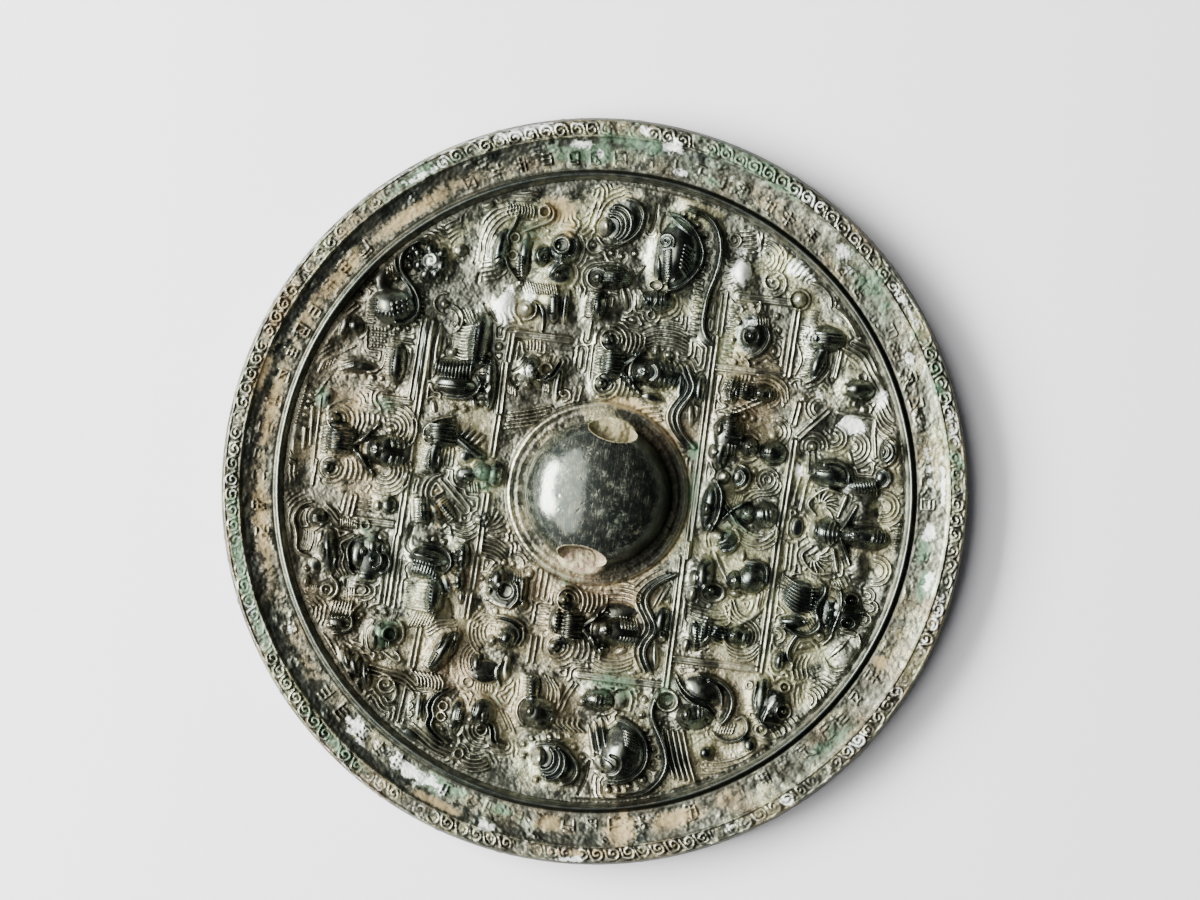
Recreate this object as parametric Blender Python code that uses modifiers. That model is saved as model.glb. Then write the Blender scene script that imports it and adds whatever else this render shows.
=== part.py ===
"""Ancient bronze mirror, lying on its polished face with the cast relief up.

One solid casting: a disc with a raised rim, a knob pierced for a cord, and a field of deities
and beasts in registers. The relief's upright is +Y, the polished face is down, and the origin
is at the middle of the flat that the face rests on. Sizes are in millimetres up to mesh_to_metres.
"""

import math

import bmesh
import bpy
from mathutils import Matrix, Vector

NAME = "bronze_mirror"
MM = 0.001

# Driving dimensions, in millimetres.
DIAMETER = 135.0
FIELD_Z = 3.0  # top of the sunken field
FIELD_RADIUS = 55.4
REST_RADIUS = 30.0  # flat at the middle of the slightly convex face
FACE_SAG = 1.0  # rise of the polished face from that flat to the edge
EDGE_INSET = 0.4  # the face's edge is rounded in by this much
RING_RADIUS, RING_WIDTH, RING_Z = 57.3, 0.8, 4.9  # thin ring around the field
BAND_IN, BAND_OUT = 58.1, 63.3  # inclined band of characters
BAND_IN_Z, BAND_OUT_Z = 4.35, 5.3
SCROLL_IN, SCROLL_OUT = 63.8, 66.6  # ridges that border the scroll band
SCROLL_Z, SCROLL_RIDGE_Z = 5.6, 5.75

KNOB_X, KNOB_Y, KNOB_RADIUS, KNOB_Z = 0.3, 0.5, 13.3, 12.4
SEAT_RADIUS, SEAT_Z = 16.6, 3.8  # low step that the knob stands on
CHANNEL_WIDTH, CHANNEL_HEIGHT, CHANNEL_ROUND = 9.0, 5.6, 2.3  # cord hole through the knob
CHANNEL_FLOOR = SEAT_Z + 0.25
CHANNEL_TURN = math.radians(-7.0)

BAR_HEIGHT = 1.1
SINK = 0.25  # depth that relief reaches into the plate
DISC_STEPS, KNOB_STEPS = 72, 28
SMOOTH_BELOW = math.radians(35.0)  # edges that turn more than this stay sharp


def collection(name):
    """A new collection in the scene."""
    group = bpy.data.collections.new(name)
    bpy.context.scene.collection.children.link(group)
    return group


def add(name, mesh, group):
    """A new object for a mesh."""
    item = bpy.data.objects.new(name, mesh)
    group.objects.link(item)
    return item


def mesh_to_metres(form, name):
    """The mesh of a bmesh that was modelled in millimetres."""
    bmesh.ops.scale(form, vec=Vector((MM, MM, MM)), verts=form.verts)
    bmesh.ops.recalc_face_normals(form, faces=form.faces)
    mesh = bpy.data.meshes.new(name)
    form.to_mesh(mesh)
    form.free()
    return mesh


def turned(name, profile, steps, group):
    """A solid of revolution about Z from (radius, z) points that start and end on the axis."""
    form = bmesh.new()
    verts = [form.verts.new((radius * MM, 0.0, z * MM)) for radius, z in profile]
    for above, below in zip(verts, verts[1:]):
        form.edges.new((above, below))
    mesh = bpy.data.meshes.new(name)
    form.to_mesh(mesh)
    form.free()
    item = add(name, mesh, group)
    screw = item.modifiers.new("turn", "SCREW")
    screw.steps = screw.render_steps = steps
    screw.use_merge_vertices = True
    screw.merge_threshold = 0.00001
    flat = item.modifiers.new("one face for each flat", "DECIMATE")
    flat.decimate_type = "DISSOLVE"
    flat.angle_limit = math.radians(0.5)
    return item


def face_rise(radius):
    """Height of the convex polished face above its resting flat."""
    edge = DIAMETER / 2 - EDGE_INSET
    return FACE_SAG * max(0.0, radius**2 - REST_RADIUS**2) / (edge**2 - REST_RADIUS**2)


def disc_profile():
    """The disc's section from the middle of the field, over the rim, to the middle of the face."""
    edge = DIAMETER / 2
    half_ring = RING_WIDTH / 2
    return [
        (0.0, FIELD_Z),
        (FIELD_RADIUS, FIELD_Z),
        (RING_RADIUS - half_ring - 0.4, RING_Z - 0.4),
        (RING_RADIUS - half_ring + 0.1, RING_Z),
        (RING_RADIUS + half_ring - 0.1, RING_Z),
        (BAND_IN, BAND_IN_Z),
        ((BAND_IN + BAND_OUT) / 2, (BAND_IN_Z + BAND_OUT_Z) / 2 - 0.15),
        (BAND_OUT, BAND_OUT_Z),
        (SCROLL_IN, SCROLL_RIDGE_Z),
        (SCROLL_IN + 0.4, SCROLL_Z),
        (SCROLL_OUT - 0.4, SCROLL_Z),
        (SCROLL_OUT, SCROLL_RIDGE_Z),
        (edge, FACE_SAG + 0.5),
        (edge - EDGE_INSET, FACE_SAG),
        (50.0, face_rise(50.0)),
        (REST_RADIUS, 0.0),
        (0.0, 0.0),
    ]


def knob_profile():
    """The domed knob and the low round seat under it."""
    dome = []
    for angle in range(0, 90, 15):
        turn = math.radians(angle)
        height = (KNOB_Z - SEAT_Z) * math.cos(turn)
        dome.append((KNOB_RADIUS * math.sin(turn), SEAT_Z + height))
    seat = [
        (KNOB_RADIUS, SEAT_Z),
        (SEAT_RADIUS - 0.4, SEAT_Z),
        (SEAT_RADIUS, FIELD_Z - SINK),
        (0.0, FIELD_Z - SINK),
    ]
    return dome + seat


def cord_channel(group):
    """The cutter for the cord's way through the knob, rounded on all sides."""
    form = bmesh.new()
    bmesh.ops.create_cube(form, size=1.0)
    size = Vector((4 * KNOB_RADIUS, CHANNEL_WIDTH, CHANNEL_HEIGHT))
    bmesh.ops.scale(form, vec=size, verts=form.verts)
    mesh = mesh_to_metres(form, "cord channel")
    item = add("cord channel", mesh, group)
    middle = CHANNEL_FLOOR + CHANNEL_HEIGHT / 2
    item.location = (KNOB_X * MM, KNOB_Y * MM, middle * MM)
    item.rotation_euler.z = CHANNEL_TURN
    rounding = item.modifiers.new("rounding", "BEVEL")
    rounding.width = CHANNEL_ROUND * MM
    rounding.segments = 3
    return item


class Relief:
    """Raises the relief's masses on the field, each as an object in one collection."""

    def __init__(self, group):
        self.group = group

    def keep(self, form, name):
        return add(name, mesh_to_metres(form, name), self.group)

    def mass(self, x, y, width, length, height, turn=0.0):
        """A rounded mass: an ellipsoid whose lower half is pressed flat into the plate."""
        size = max(width, length)
        sides, rings = (8, 6) if size > 8.2 else (8, 4) if size > 5.2 else (6, 4)
        form = bmesh.new()
        bmesh.ops.create_uvsphere(form, u_segments=sides, v_segments=rings, radius=1.0)
        for vert in form.verts:
            depth = height + SINK if vert.co.z > 0.01 else 2 * SINK
            vert.co = Vector((vert.co.x * width / 2, vert.co.y * length / 2, vert.co.z * depth))
        bmesh.ops.rotate(form, matrix=Matrix.Rotation(math.radians(turn), 3, "Z"), verts=form.verts)
        bmesh.ops.translate(form, vec=(x, y, FIELD_Z - SINK), verts=form.verts)
        self.keep(form, "mass")

    def pair(self, x, y, spread, width, length, height, turn=0.0):
        """Two like masses, mirrored about x."""
        self.mass(x - spread, y, width, length, height, turn)
        self.mass(x + spread, y, width, length, height, -turn)

    def bar(self, start, end, width=1.3, height=BAR_HEIGHT):
        """A straight border bar, narrower at its top."""
        start, end = Vector((*start, 0.0)), Vector((*end, 0.0))
        along = end - start
        form = bmesh.new()
        bmesh.ops.create_cube(form, size=1.0)
        for vert in form.verts:
            taper = 0.7 if vert.co.z > 0 else 1.0
            z = height if vert.co.z > 0 else -SINK
            vert.co = Vector((vert.co.x * along.length, vert.co.y * width * taper, z))
        turn = Matrix.Rotation(math.atan2(along.y, along.x), 3, "Z")
        bmesh.ops.rotate(form, matrix=turn, verts=form.verts)
        middle = (start + end) / 2
        bmesh.ops.translate(form, vec=(middle.x, middle.y, FIELD_Z), verts=form.verts)
        self.keep(form, "bar")

    def strand(self, points, width=1.2, height=1.2):
        """A rounded strand that follows points over the field."""
        curve = bpy.data.curves.new("strand", "CURVE")
        curve.dimensions = "3D"
        curve.bevel_depth = width / 2
        curve.bevel_resolution = 1
        curve.use_fill_caps = True
        spline = curve.splines.new("POLY")
        spline.points.add(len(points) - 1)
        for knot, (x, y) in zip(spline.points, points):
            knot.co = (x, y, 0.0, 1.0)
        source = add("strand", curve, self.group)
        shape = source.evaluated_get(bpy.context.evaluated_depsgraph_get())
        mesh = bpy.data.meshes.new_from_object(shape)
        bpy.data.objects.remove(source)
        form = bmesh.new()
        form.from_mesh(mesh)
        bpy.data.meshes.remove(mesh)
        bmesh.ops.remove_doubles(form, verts=form.verts, dist=0.001)
        for vert in form.verts:
            raised = vert.co.z * 2 / width
            vert.co.z = FIELD_Z - SINK / 2 + raised * (height if raised > 0 else SINK)
        self.keep(form, "strand")

    def arch(self, x, y, radius, start, end, width=1.2, height=1.2, squash=1.0):
        """A strand along a circular arc, from start to end in degrees."""
        steps = max(3, round(abs(end - start) / 36.0))
        angles = [math.radians(start + (end - start) * i / steps) for i in range(steps + 1)]
        points = [(x + radius * math.cos(a), y + squash * radius * math.sin(a)) for a in angles]
        self.strand(points, width, height)

    def fan(self, x, y, reach, start, end, feathers=2):
        """Feathers of a wing, spread between two directions in degrees."""
        for i in range(feathers):
            angle = start + (end - start) * (i + 0.5) / feathers
            turn = math.radians(angle)
            away = reach * 0.62
            place = x + away * math.cos(turn), y + away * math.sin(turn)
            self.mass(*place, reach * 0.85, 1.5, 1.2, angle)

    def winged_deity(self, x, y, head, robe, drop, reach):
        """A deity facing out: head over a broad robe, knees below and a wing on either side."""
        self.mass(x, y, *head, 2.3)
        self.mass(x, y - drop, *robe, 2.1)
        self.mass(x, y - drop - robe[1] * 0.62, robe[0] * 0.8, 1.8, 1.9)
        self.fan(x - reach, y - drop, 3.6, 100, 235)
        self.fan(x + reach, y - drop, 3.6, 80, -55)

    def sitting_figure(self, x, y, head=3.4, robe=5.0):
        """An attendant: a round head over a robe that spreads over the knees."""
        self.mass(x, y, head, head * 1.25, 2.0)
        self.mass(x, y - head * 1.25, robe * 0.8, head * 0.9, 1.5)
        self.mass(x, y - head * 1.9, robe, head * 0.7, 1.8)

    def beast_face(self, x, y, size, turn=0.0):
        """A beast's head: brow, bulging ring eye, snout and jaw."""
        lean = math.radians(turn)
        across = Vector((math.cos(lean), math.sin(lean)))
        down = Vector((math.sin(lean), -math.cos(lean)))
        middle = Vector((x, y))
        self.mass(*middle, size * 0.42, size * 0.42, 1.9)
        self.mass(*(middle - down * size * 0.5), size * 0.9, size * 0.3, 1.3, turn)
        self.mass(*(middle + across * size * 0.5 + down * size * 0.2), size * 0.35, size * 0.35, 1.4)
        self.mass(*(middle + down * size * 0.62), size * 0.95, size * 0.32, 1.5, turn)

    def beads(self, points, size=1.1, height=0.9):
        """A row of small round beads."""
        for x, y in points:
            self.mass(x, y, size, size, height)


def borders(relief):
    """Straight bars that divide the field into registers and frames."""
    for start, end in (
        ((-21.0, 34.3), (28.5, 33.4)),
        ((-40.0, 32.6), (-25.0, 31.9)),
        ((-30.0, 18.2), (9.7, 17.9)),
        ((9.9, 17.2), (33.0, 17.0)),
        ((28.2, 32.8), (28.2, 17.8)),
        ((-24.5, 31.2), (-24.5, 19.0)),
        ((-38.0, 31.6), (-38.0, 21.0)),
        ((33.0, 16.3), (33.0, 1.0)),
        ((-26.5, -18.8), (-3.6, -19.0)),
        ((2.6, -19.5), (25.4, -20.4)),
        ((-26.6, -8.5), (-26.6, -18.0)),
        ((-27.0, -33.0), (-8.6, -34.2)),
        ((3.3, -33.9), (24.6, -34.8)),
        ((-12.0, -34.9), (-12.0, -40.0)),
        ((10.6, -35.2), (10.6, -42.0)),
        ((-19.7, 40.0), (-14.4, 35.3)),
        ((-30.0, -4.2), (-17.0, -5.4)),
        ((-22.3, -35.6), (-13.2, -36.0)),
    ):
        relief.bar(start, end)


def upper_registers(relief):
    """The two registers above the knob."""
    relief.winged_deity(2.3, 48.8, (4.4, 6.6), (5.6, 4.2), 6.6, 4.2)
    relief.bar((-0.6, 36.4), (5.2, 36.4), 2.2)
    relief.mass(-8.6, 41.8, 5.4, 8.0, 2.1)
    relief.mass(-7.4, 48.6, 2.6, 5.0, 1.4, 8)
    relief.mass(-14.2, 44.2, 4.2, 7.2, 0.9)
    relief.mass(-12.6, 38.0, 4.8, 4.6, 1.3)
    relief.mass(-20.2, 37.6, 4.4, 4.4, 1.1)
    relief.mass(-13.7, 51.2, 4.6, 3.0, 1.1)
    relief.mass(-24.0, 45.0, 3.4, 5.2, 1.9)
    relief.mass(-29.0, 46.2, 4.0, 4.0, 0.8, 30)
    relief.mass(-32.2, 38.6, 4.4, 5.6, 1.9)
    relief.mass(-27.6, 37.5, 6.2, 3.0, 1.9, -8)
    relief.beast_face(16.0, 48.0, 4.6)
    relief.mass(16.5, 44.3, 8.4, 2.2, 1.5)
    relief.mass(21.0, 43.4, 2.0, 2.0, 1.3)
    relief.strand([(11.3, 42.2), (13.9, 42.9), (16.0, 42.1), (18.8, 43.0), (21.0, 40.4)], 1.1, 1.3)
    relief.mass(18.8, 38.4, 2.0, 5.6, 1.9, 4)
    relief.mass(13.4, 38.8, 5.2, 5.4, 1.0, -20)
    relief.mass(22.9, 46.8, 4.4, 4.6, 1.2)
    relief.mass(28.2, 43.0, 3.4, 7.6, 0.9, 15)
    relief.mass(26.5, 36.8, 3.4, 1.8, 1.6)
    relief.beast_face(34.8, 38.0, 5.4, -10)
    relief.mass(33.1, 34.4, 8.4, 2.4, 1.8, -6)
    relief.mass(32.2, 43.2, 6.4, 4.6, 1.0, -30)
    relief.mass(41.6, 33.0, 3.0, 2.6, 1.4)
    # Second register: a framed beast, five sitting figures and the dragon at the right.
    relief.beast_face(-31.4, 24.4, 6.2)
    relief.beads(((-35.3, 28.5), (-32.7, 29.4), (-29.7, 29.0), (-36.7, 24.0), (-33.9, 21.6)), 1.3)
    relief.sitting_figure(-21.3, 28.4, 3.2, 5.0)
    relief.sitting_figure(-11.1, 27.8, 4.0, 6.4)
    relief.sitting_figure(0.7, 28.6, 4.0, 7.6)
    relief.pair(0.6, 26.2, 5.7, 4.2, 3.6, 1.3, 20)
    relief.sitting_figure(12.8, 28.0, 4.4, 6.2)
    relief.mass(17.9, 27.0, 4.2, 6.4, 1.0)
    relief.sitting_figure(23.0, 28.6, 3.6, 5.4)
    relief.pair(0.6, 20.1, 11.6, 3.0, 1.8, 1.4)
    relief.mass(-45.2, 25.9, 6.4, 5.0, 1.0, 25)
    relief.mass(-41.6, 21.8, 5.4, 3.4, 1.2)
    relief.mass(38.2, 22.8, 4.4, 7.0, 2.1, 15)
    relief.mass(33.4, 22.4, 2.4, 5.4, 1.3, 25)
    relief.arch(35.2, 23.6, 5.4, 175, 50, 1.2, 1.3)
    relief.strand([(30.3, 18.4), (32.8, 19.6), (34.8, 22.9), (36.9, 26.5)], 1.0, 1.2)
    relief.mass(44.4, 27.0, 2.2, 8.0, 1.1, -28)
    relief.strand([(50.1, 24.2), (45.4, 22.6), (41.4, 20.8)], 1.4, 1.3)
    relief.strand([(48.4, 20.2), (44.0, 19.2), (40.6, 17.9)], 1.3, 1.2)


def dragon(relief, side):
    """One of the two dragons that lie around a domed mound beside the enthroned deities."""
    spine = [(52.6, 11.6), (50.4, 15.6), (46.0, 17.8), (41.6, 16.8), (37.6, 15.6), (31.5, 15.9)]
    relief.strand([(side * x, y) for x, y in spine], 1.9, 1.7)
    relief.mass(side * 45.4, 10.2, 9.6, 8.0, 2.3, -side * 24)
    relief.mass(side * 36.6, 6.3, 3.4, 5.8, 1.7)
    relief.mass(side * 41.4, 6.4, 6.4, 1.6, 1.3, side * 12)
    count = 4
    for i in range(count):
        turn = math.radians(20 + 130 * i / (count - 1))
        x, y = 45.3 + 6.6 * math.cos(turn), 8.6 + 6.4 * math.sin(turn)
        relief.beads(((side * x, y),))


def ribbed_shell(relief, x, y, side):
    """A coiled shell: nested ribs that close on a boss."""
    relief.mass(x, y - 2.4, 3.0, 3.2, 1.9)
    for radius in (3.3, 5.2):
        relief.arch(x, y - 1.4, radius, 90 - side * 95, 90 + side * 70, 1.1, 1.4)


def middle_register(relief):
    """Both sides of the knob: canopied deities, dragons and shells."""
    relief.winged_deity(-22.8, 7.4, (5.0, 6.0), (6.4, 4.2), 6.8, 4.8)
    relief.winged_deity(24.3, 7.0, (5.4, 7.4), (6.6, 4.0), 8.0, 5.0)
    relief.pair(24.0, -3.4, 4.6, 3.6, 2.2, 1.4, 20)
    canopy = [(-6.8, -0.6), (-4.8, 1.0), (-1.6, 1.6), (0.8, 0.1), (3.4, -0.5), (6.6, 2.2)]
    relief.strand([(-17.6 + x, 13.6 + y) for x, y in canopy], 1.6, 1.4)
    swag = [(13.6, 15.8), (16.0, 12.0), (19.0, 11.7), (22.8, 13.6), (26.6, 12.2), (31.0, 13.3)]
    relief.strand(swag, 1.6, 1.4)
    relief.mass(-20.8, 16.6, 5.4, 1.6, 1.2)
    relief.mass(22.6, 15.6, 5.4, 1.6, 1.2)
    dragon(relief, -1)
    dragon(relief, 1)
    ribbed_shell(relief, -48.0, -1.2, 1)
    ribbed_shell(relief, 48.9, -1.4, -1)
    relief.mass(-38.3, -2.8, 3.8, 5.8, 1.9)
    relief.mass(-33.6, -3.4, 5.2, 2.8, 1.6)
    relief.mass(40.5, -5.4, 5.8, 6.4, 2.3, -20)
    relief.mass(36.2, -7.0, 5.0, 2.6, 1.9)
    relief.mass(38.2, -0.6, 5.0, 2.0, 1.1, -40)
    relief.bar((15.4, -7.0), (30.8, -7.6), 1.2, 0.9)


def beast_register(relief):
    """The register under the knob: five beasts' heads and the small canopy between them."""
    relief.beast_face(-43.0, -12.2, 6.6)
    relief.mass(-40.9, -17.8, 7.0, 2.0, 1.5, -6)
    relief.mass(-42.2, -22.0, 6.6, 2.2, 1.8, -10)
    relief.bar((-35.3, -10.6), (-35.3, -17.4), 1.6, 1.0)
    relief.strand([(-48.9, -14.6), (-46.6, -17.4), (-48.3, -19.8), (-45.4, -23.0)], 1.3, 1.2)
    relief.mass(-31.1, -16.5, 2.6, 2.6, 1.8)
    relief.beast_face(-20.2, -12.0, 5.8, -20)
    relief.mass(-18.2, -8.2, 5.4, 1.7, 1.3, 10)
    relief.mass(-16.6, -16.4, 2.6, 3.6, 1.1, 30)
    relief.mass(9.6, -16.9, 5.6, 3.0, 0.9)
    relief.mass(-1.2, -18.6, 4.0, 2.4, 1.6)
    relief.mass(7.3, -19.2, 2.6, 2.4, 1.7)
    relief.beast_face(19.4, -13.4, 5.6)
    relief.beast_face(27.9, -13.9, 4.8, -20)
    relief.mass(34.7, -15.8, 4.2, 5.0, 1.2)
    relief.beast_face(44.4, -15.6, 5.4, 20)
    relief.mass(43.0, -21.9, 6.8, 2.0, 1.3)
    relief.arch(43.4, -21.4, 4.2, 200, 340, 1.1, 1.2, 0.8)
    relief.mass(50.0, -17.6, 1.8, 6.4, 1.0, -14)
    relief.mass(47.9, -27.6, 2.6, 4.6, 1.5, -20)


def lower_registers(relief):
    """The two registers at the foot of the relief."""
    relief.mass(-18.0, -20.7, 11.0, 1.7, 1.5)
    relief.mass(-25.0, -23.3, 9.6, 3.4, 2.2)
    relief.mass(-24.0, -26.8, 8.6, 3.4, 1.2)
    relief.mass(-18.6, -27.4, 2.8, 6.8, 1.4)
    relief.mass(-15.5, -27.6, 2.6, 6.0, 1.8)
    relief.arch(-15.6, -26.2, 2.9, 200, 20, 1.1, 1.3, 1.2)
    relief.mass(-30.3, -31.0, 3.0, 3.0, 1.2)
    relief.mass(-5.4, -23.2, 3.2, 4.4, 1.5)
    relief.mass(-7.6, -28.2, 4.8, 5.4, 1.5)
    relief.mass(-1.9, -29.4, 4.6, 2.4, 1.8)
    relief.mass(3.7, -25.4, 5.0, 4.2, 1.2, 35)
    relief.mass(6.6, -29.8, 5.0, 2.4, 1.8, 20)
    relief.mass(13.9, -23.1, 5.2, 2.0, 1.6)
    relief.mass(15.2, -27.8, 2.8, 5.8, 1.9)
    relief.arch(15.0, -26.4, 2.7, 170, -10, 1.1, 1.3, 1.2)
    relief.mass(18.2, -28.2, 2.4, 5.6, 1.3)
    relief.mass(22.7, -25.8, 6.8, 3.2, 2.0, -6)
    relief.mass(22.8, -29.0, 6.4, 2.4, 1.1)
    relief.mass(26.9, -26.4, 2.4, 5.0, 1.0, -20)
    relief.mass(31.2, -24.0, 6.6, 2.6, 1.7, -28)
    relief.mass(37.0, -25.6, 2.8, 6.6, 1.2, 10)
    # Bottom register: the coiled beast, the deity under hoods, the beast in its frame and birds.
    relief.mass(-37.5, -33.9, 6.4, 6.2, 1.4)
    tail = [(-40.9, -35.4), (-39.5, -38.5), (-36.6, -39.4), (-33.5, -37.3), (-30.1, -35.4)]
    relief.strand(tail, 1.2, 1.4)
    relief.mass(-28.6, -39.6, 6.6, 8.4, 2.1, -16)
    relief.mass(-18.0, -37.8, 6.6, 3.2, 1.8)
    relief.mass(-22.2, -41.8, 5.4, 2.4, 1.1, 20)
    relief.mass(-24.4, -46.4, 4.6, 3.6, 1.1, 30)
    relief.beads([(-15.1, -40.8 - 1.9 * i) for i in range(4)])
    relief.winged_deity(-3.0, -38.6, (6.0, 6.4), (6.0, 5.2), 8.0, 4.6)
    relief.pair(-2.8, -37.2, 4.3, 4.4, 5.0, 1.0)
    relief.beast_face(16.6, -37.8, 6.4)
    relief.mass(13.0, -48.8, 6.2, 4.6, 1.1, 8)
    relief.mass(16.9, -46.2, 9.0, 2.6, 1.9, 10)
    relief.mass(22.8, -39.8, 2.4, 4.0, 1.1)
    relief.mass(28.4, -42.6, 5.6, 5.2, 1.6, -30)
    relief.beast_face(29.9, -34.2, 5.0)
    relief.mass(38.8, -33.4, 5.0, 4.8, 1.2)
    relief.mass(37.0, -37.8, 6.0, 2.4, 1.4, 24)
    relief.mass(34.6, -40.8, 5.2, 2.0, 1.2, 30)
    relief.beads([(26.4 + 0.2 * i, -34.4 - 1.6 * i) for i in range(3)])


def bronze():
    """Dark, patinated high-tin bronze."""
    material = bpy.data.materials.new("patinated_bronze")
    material.use_nodes = True
    shader = material.node_tree.nodes["Principled BSDF"]
    shader.inputs["Base Color"].default_value = (0.10, 0.10, 0.07, 1.0)
    shader.inputs["Metallic"].default_value = 0.6
    shader.inputs["Roughness"].default_value = 0.35
    return material


def join(mirror, title, operation, other, many=False):
    """Adds a Boolean that joins or cuts the mirror with an object or a collection."""
    step = mirror.modifiers.new(title, "BOOLEAN")
    step.operation = operation
    step.solver = "EXACT"
    if many:
        step.operand_type = "COLLECTION"
        step.collection = other
    else:
        step.object = other


def settle(mirror):
    """Applies the modifiers and shades the rounded forms smooth."""
    shape = mirror.evaluated_get(bpy.context.evaluated_depsgraph_get())
    mesh = bpy.data.meshes.new_from_object(shape)
    mirror.modifiers.clear()
    mirror.data = mesh
    mesh.shade_smooth()
    mesh.set_sharp_from_angle(angle=SMOOTH_BELOW)


def main():
    for item in list(bpy.data.objects):
        bpy.data.objects.remove(item)
    parts = collection(NAME)
    cutters = collection("cutters")
    masses = collection("relief masses")
    cutters.children.link(masses)
    bpy.context.scene.collection.children.unlink(masses)

    mirror = turned(NAME, disc_profile(), DISC_STEPS, parts)
    mirror.data.materials.append(bronze())
    knob = turned("knob and seat", knob_profile(), KNOB_STEPS, cutters)
    knob.location = (KNOB_X * MM, KNOB_Y * MM, 0.0)

    relief = Relief(masses)
    for register in (borders, upper_registers, middle_register, beast_register, lower_registers):
        register(relief)

    join(mirror, "relief", "UNION", masses, many=True)
    join(mirror, "knob", "UNION", knob)
    join(mirror, "cord channel", "DIFFERENCE", cord_channel(cutters))
    settle(mirror)
    for item in cutters.all_objects:
        item.hide_render = True
        item.display_type = "WIRE"


main()
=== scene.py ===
"""Dresses an ancient bronze mirror: its relief, rim, knob and polished face, with their patina."""

import math

import bmesh
import bpy
import numpy as np
from bpy.props import FloatProperty, FloatVectorProperty, IntProperty, PointerProperty
from mathutils import Matrix, Vector, noise


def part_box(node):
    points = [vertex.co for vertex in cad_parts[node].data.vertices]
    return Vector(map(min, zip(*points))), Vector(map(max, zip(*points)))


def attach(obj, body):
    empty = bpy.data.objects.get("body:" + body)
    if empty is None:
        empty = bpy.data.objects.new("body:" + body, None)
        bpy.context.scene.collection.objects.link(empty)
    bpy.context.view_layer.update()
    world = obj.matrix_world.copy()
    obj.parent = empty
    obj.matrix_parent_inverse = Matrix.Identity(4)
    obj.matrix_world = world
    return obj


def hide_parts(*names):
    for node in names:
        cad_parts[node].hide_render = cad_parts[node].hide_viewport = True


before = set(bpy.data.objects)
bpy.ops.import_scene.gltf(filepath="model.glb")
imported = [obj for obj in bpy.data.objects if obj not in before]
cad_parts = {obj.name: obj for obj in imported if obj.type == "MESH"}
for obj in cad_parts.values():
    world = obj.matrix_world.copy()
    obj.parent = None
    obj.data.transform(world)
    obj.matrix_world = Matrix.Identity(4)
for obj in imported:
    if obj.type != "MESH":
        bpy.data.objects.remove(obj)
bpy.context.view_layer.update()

bl_info = {
    "name": "Bronze mirror",
    "version": (1, 0, 0),
    "blender": (4, 5, 0),
    "location": "View3D > Sidebar > Mirror",
    "description": "Casts an ancient bronze mirror with deities and beasts in registers",
    "category": "Add Mesh",
}

NODE = "bronze_mirror"
LOW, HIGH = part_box(NODE)
DESIGN_DIAMETER = 135.0  # the design's own units, which are millimetres at full size
UNIT = (HIGH.x - LOW.x) / DESIGN_DIAMETER
TOP_Z = (HIGH.z - LOW.z) / UNIT

# Levels and radii of the casting, in design units. A pair of radii is where a change begins and ends.
EDGE = DESIGN_DIAMETER / 2
FIELD_Z, FIELD_RADIUS = 3.0, 55.4
FACE_SAG, REST_RADIUS, EDGE_INSET = 1.0, 30.0, 0.4
FACE_EDGE = 66.0  # the polished face's own piece reaches this far
SCROLL_IN, SCROLL_OUT = 63.8, 66.6
KNOB_X, KNOB_Y, KNOB_RADIUS = 0.3, 0.5, 13.3
SEAT_RADIUS, SEAT_Z, KNOB_FOOT_Z = 16.6, 3.8, 3.4
CHANNEL_WIDTH, CHANNEL_HEIGHT, CHANNEL_FLOOR = 9.0, 5.6, SEAT_Z + 0.25
CHANNEL_TURN = math.radians(-7.0)

THREAD, RAISE, PITCH = 0.40, 0.44, 0.74  # width, height and spacing of the fine raised lines
HIDDEN_Z = 1.8  # level inside the casting where its upper pieces are closed
COVE, COVE_RISE = (51.5, 55.6), 0.9  # the field's rise towards the ring
SEAT_LIPS = ((15.8, 0.3), (14.4, 0.15))  # radius and height of the low rings on the knob's seat
CLAY_MOUNDS = ((-1, 11.6, 1.0), (1, 12.4, 0.8))  # side, distance and depth of the earth at the hole's mouths
CLAY_BED = 10.0  # how far from the knob's middle the earth in the hole reaches
LOW_LEVELS = (30.0, 44.0)  # how far below the middle the earth thins out and darkens
SLABS = ((60.0, 23.1, "relief_top"), (23.1, 0.0, "relief_upper"), (0.0, -23.1, "relief_lower"),
         (-23.1, -60.0, "relief_foot"))  # the field's pieces, each between two levels of the design


# Number fields

def blurred(field, radius):
    """The field smoothed by a Gaussian whose deviation is radius samples."""
    rows = np.fft.fftfreq(field.shape[0])
    columns = np.fft.rfftfreq(field.shape[1])
    fall = np.exp(-2 * (math.pi * radius) ** 2 * (rows[:, None] ** 2 + columns[None] ** 2))
    return np.fft.irfft2(np.fft.rfft2(field) * fall, field.shape)


def mottle(shape, size, seed):
    """Smooth random clouds about zero, with features of about size samples."""
    clouds = blurred(np.random.default_rng(seed).standard_normal(shape), size)
    return clouds / clouds.std()


def ramp(value, low, high):
    """Rises smoothly from 0 to 1 between low and high."""
    share = np.clip((value - low) / (high - low), 0.0, 1.0)
    return share * share * (3 - 2 * share)


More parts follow.
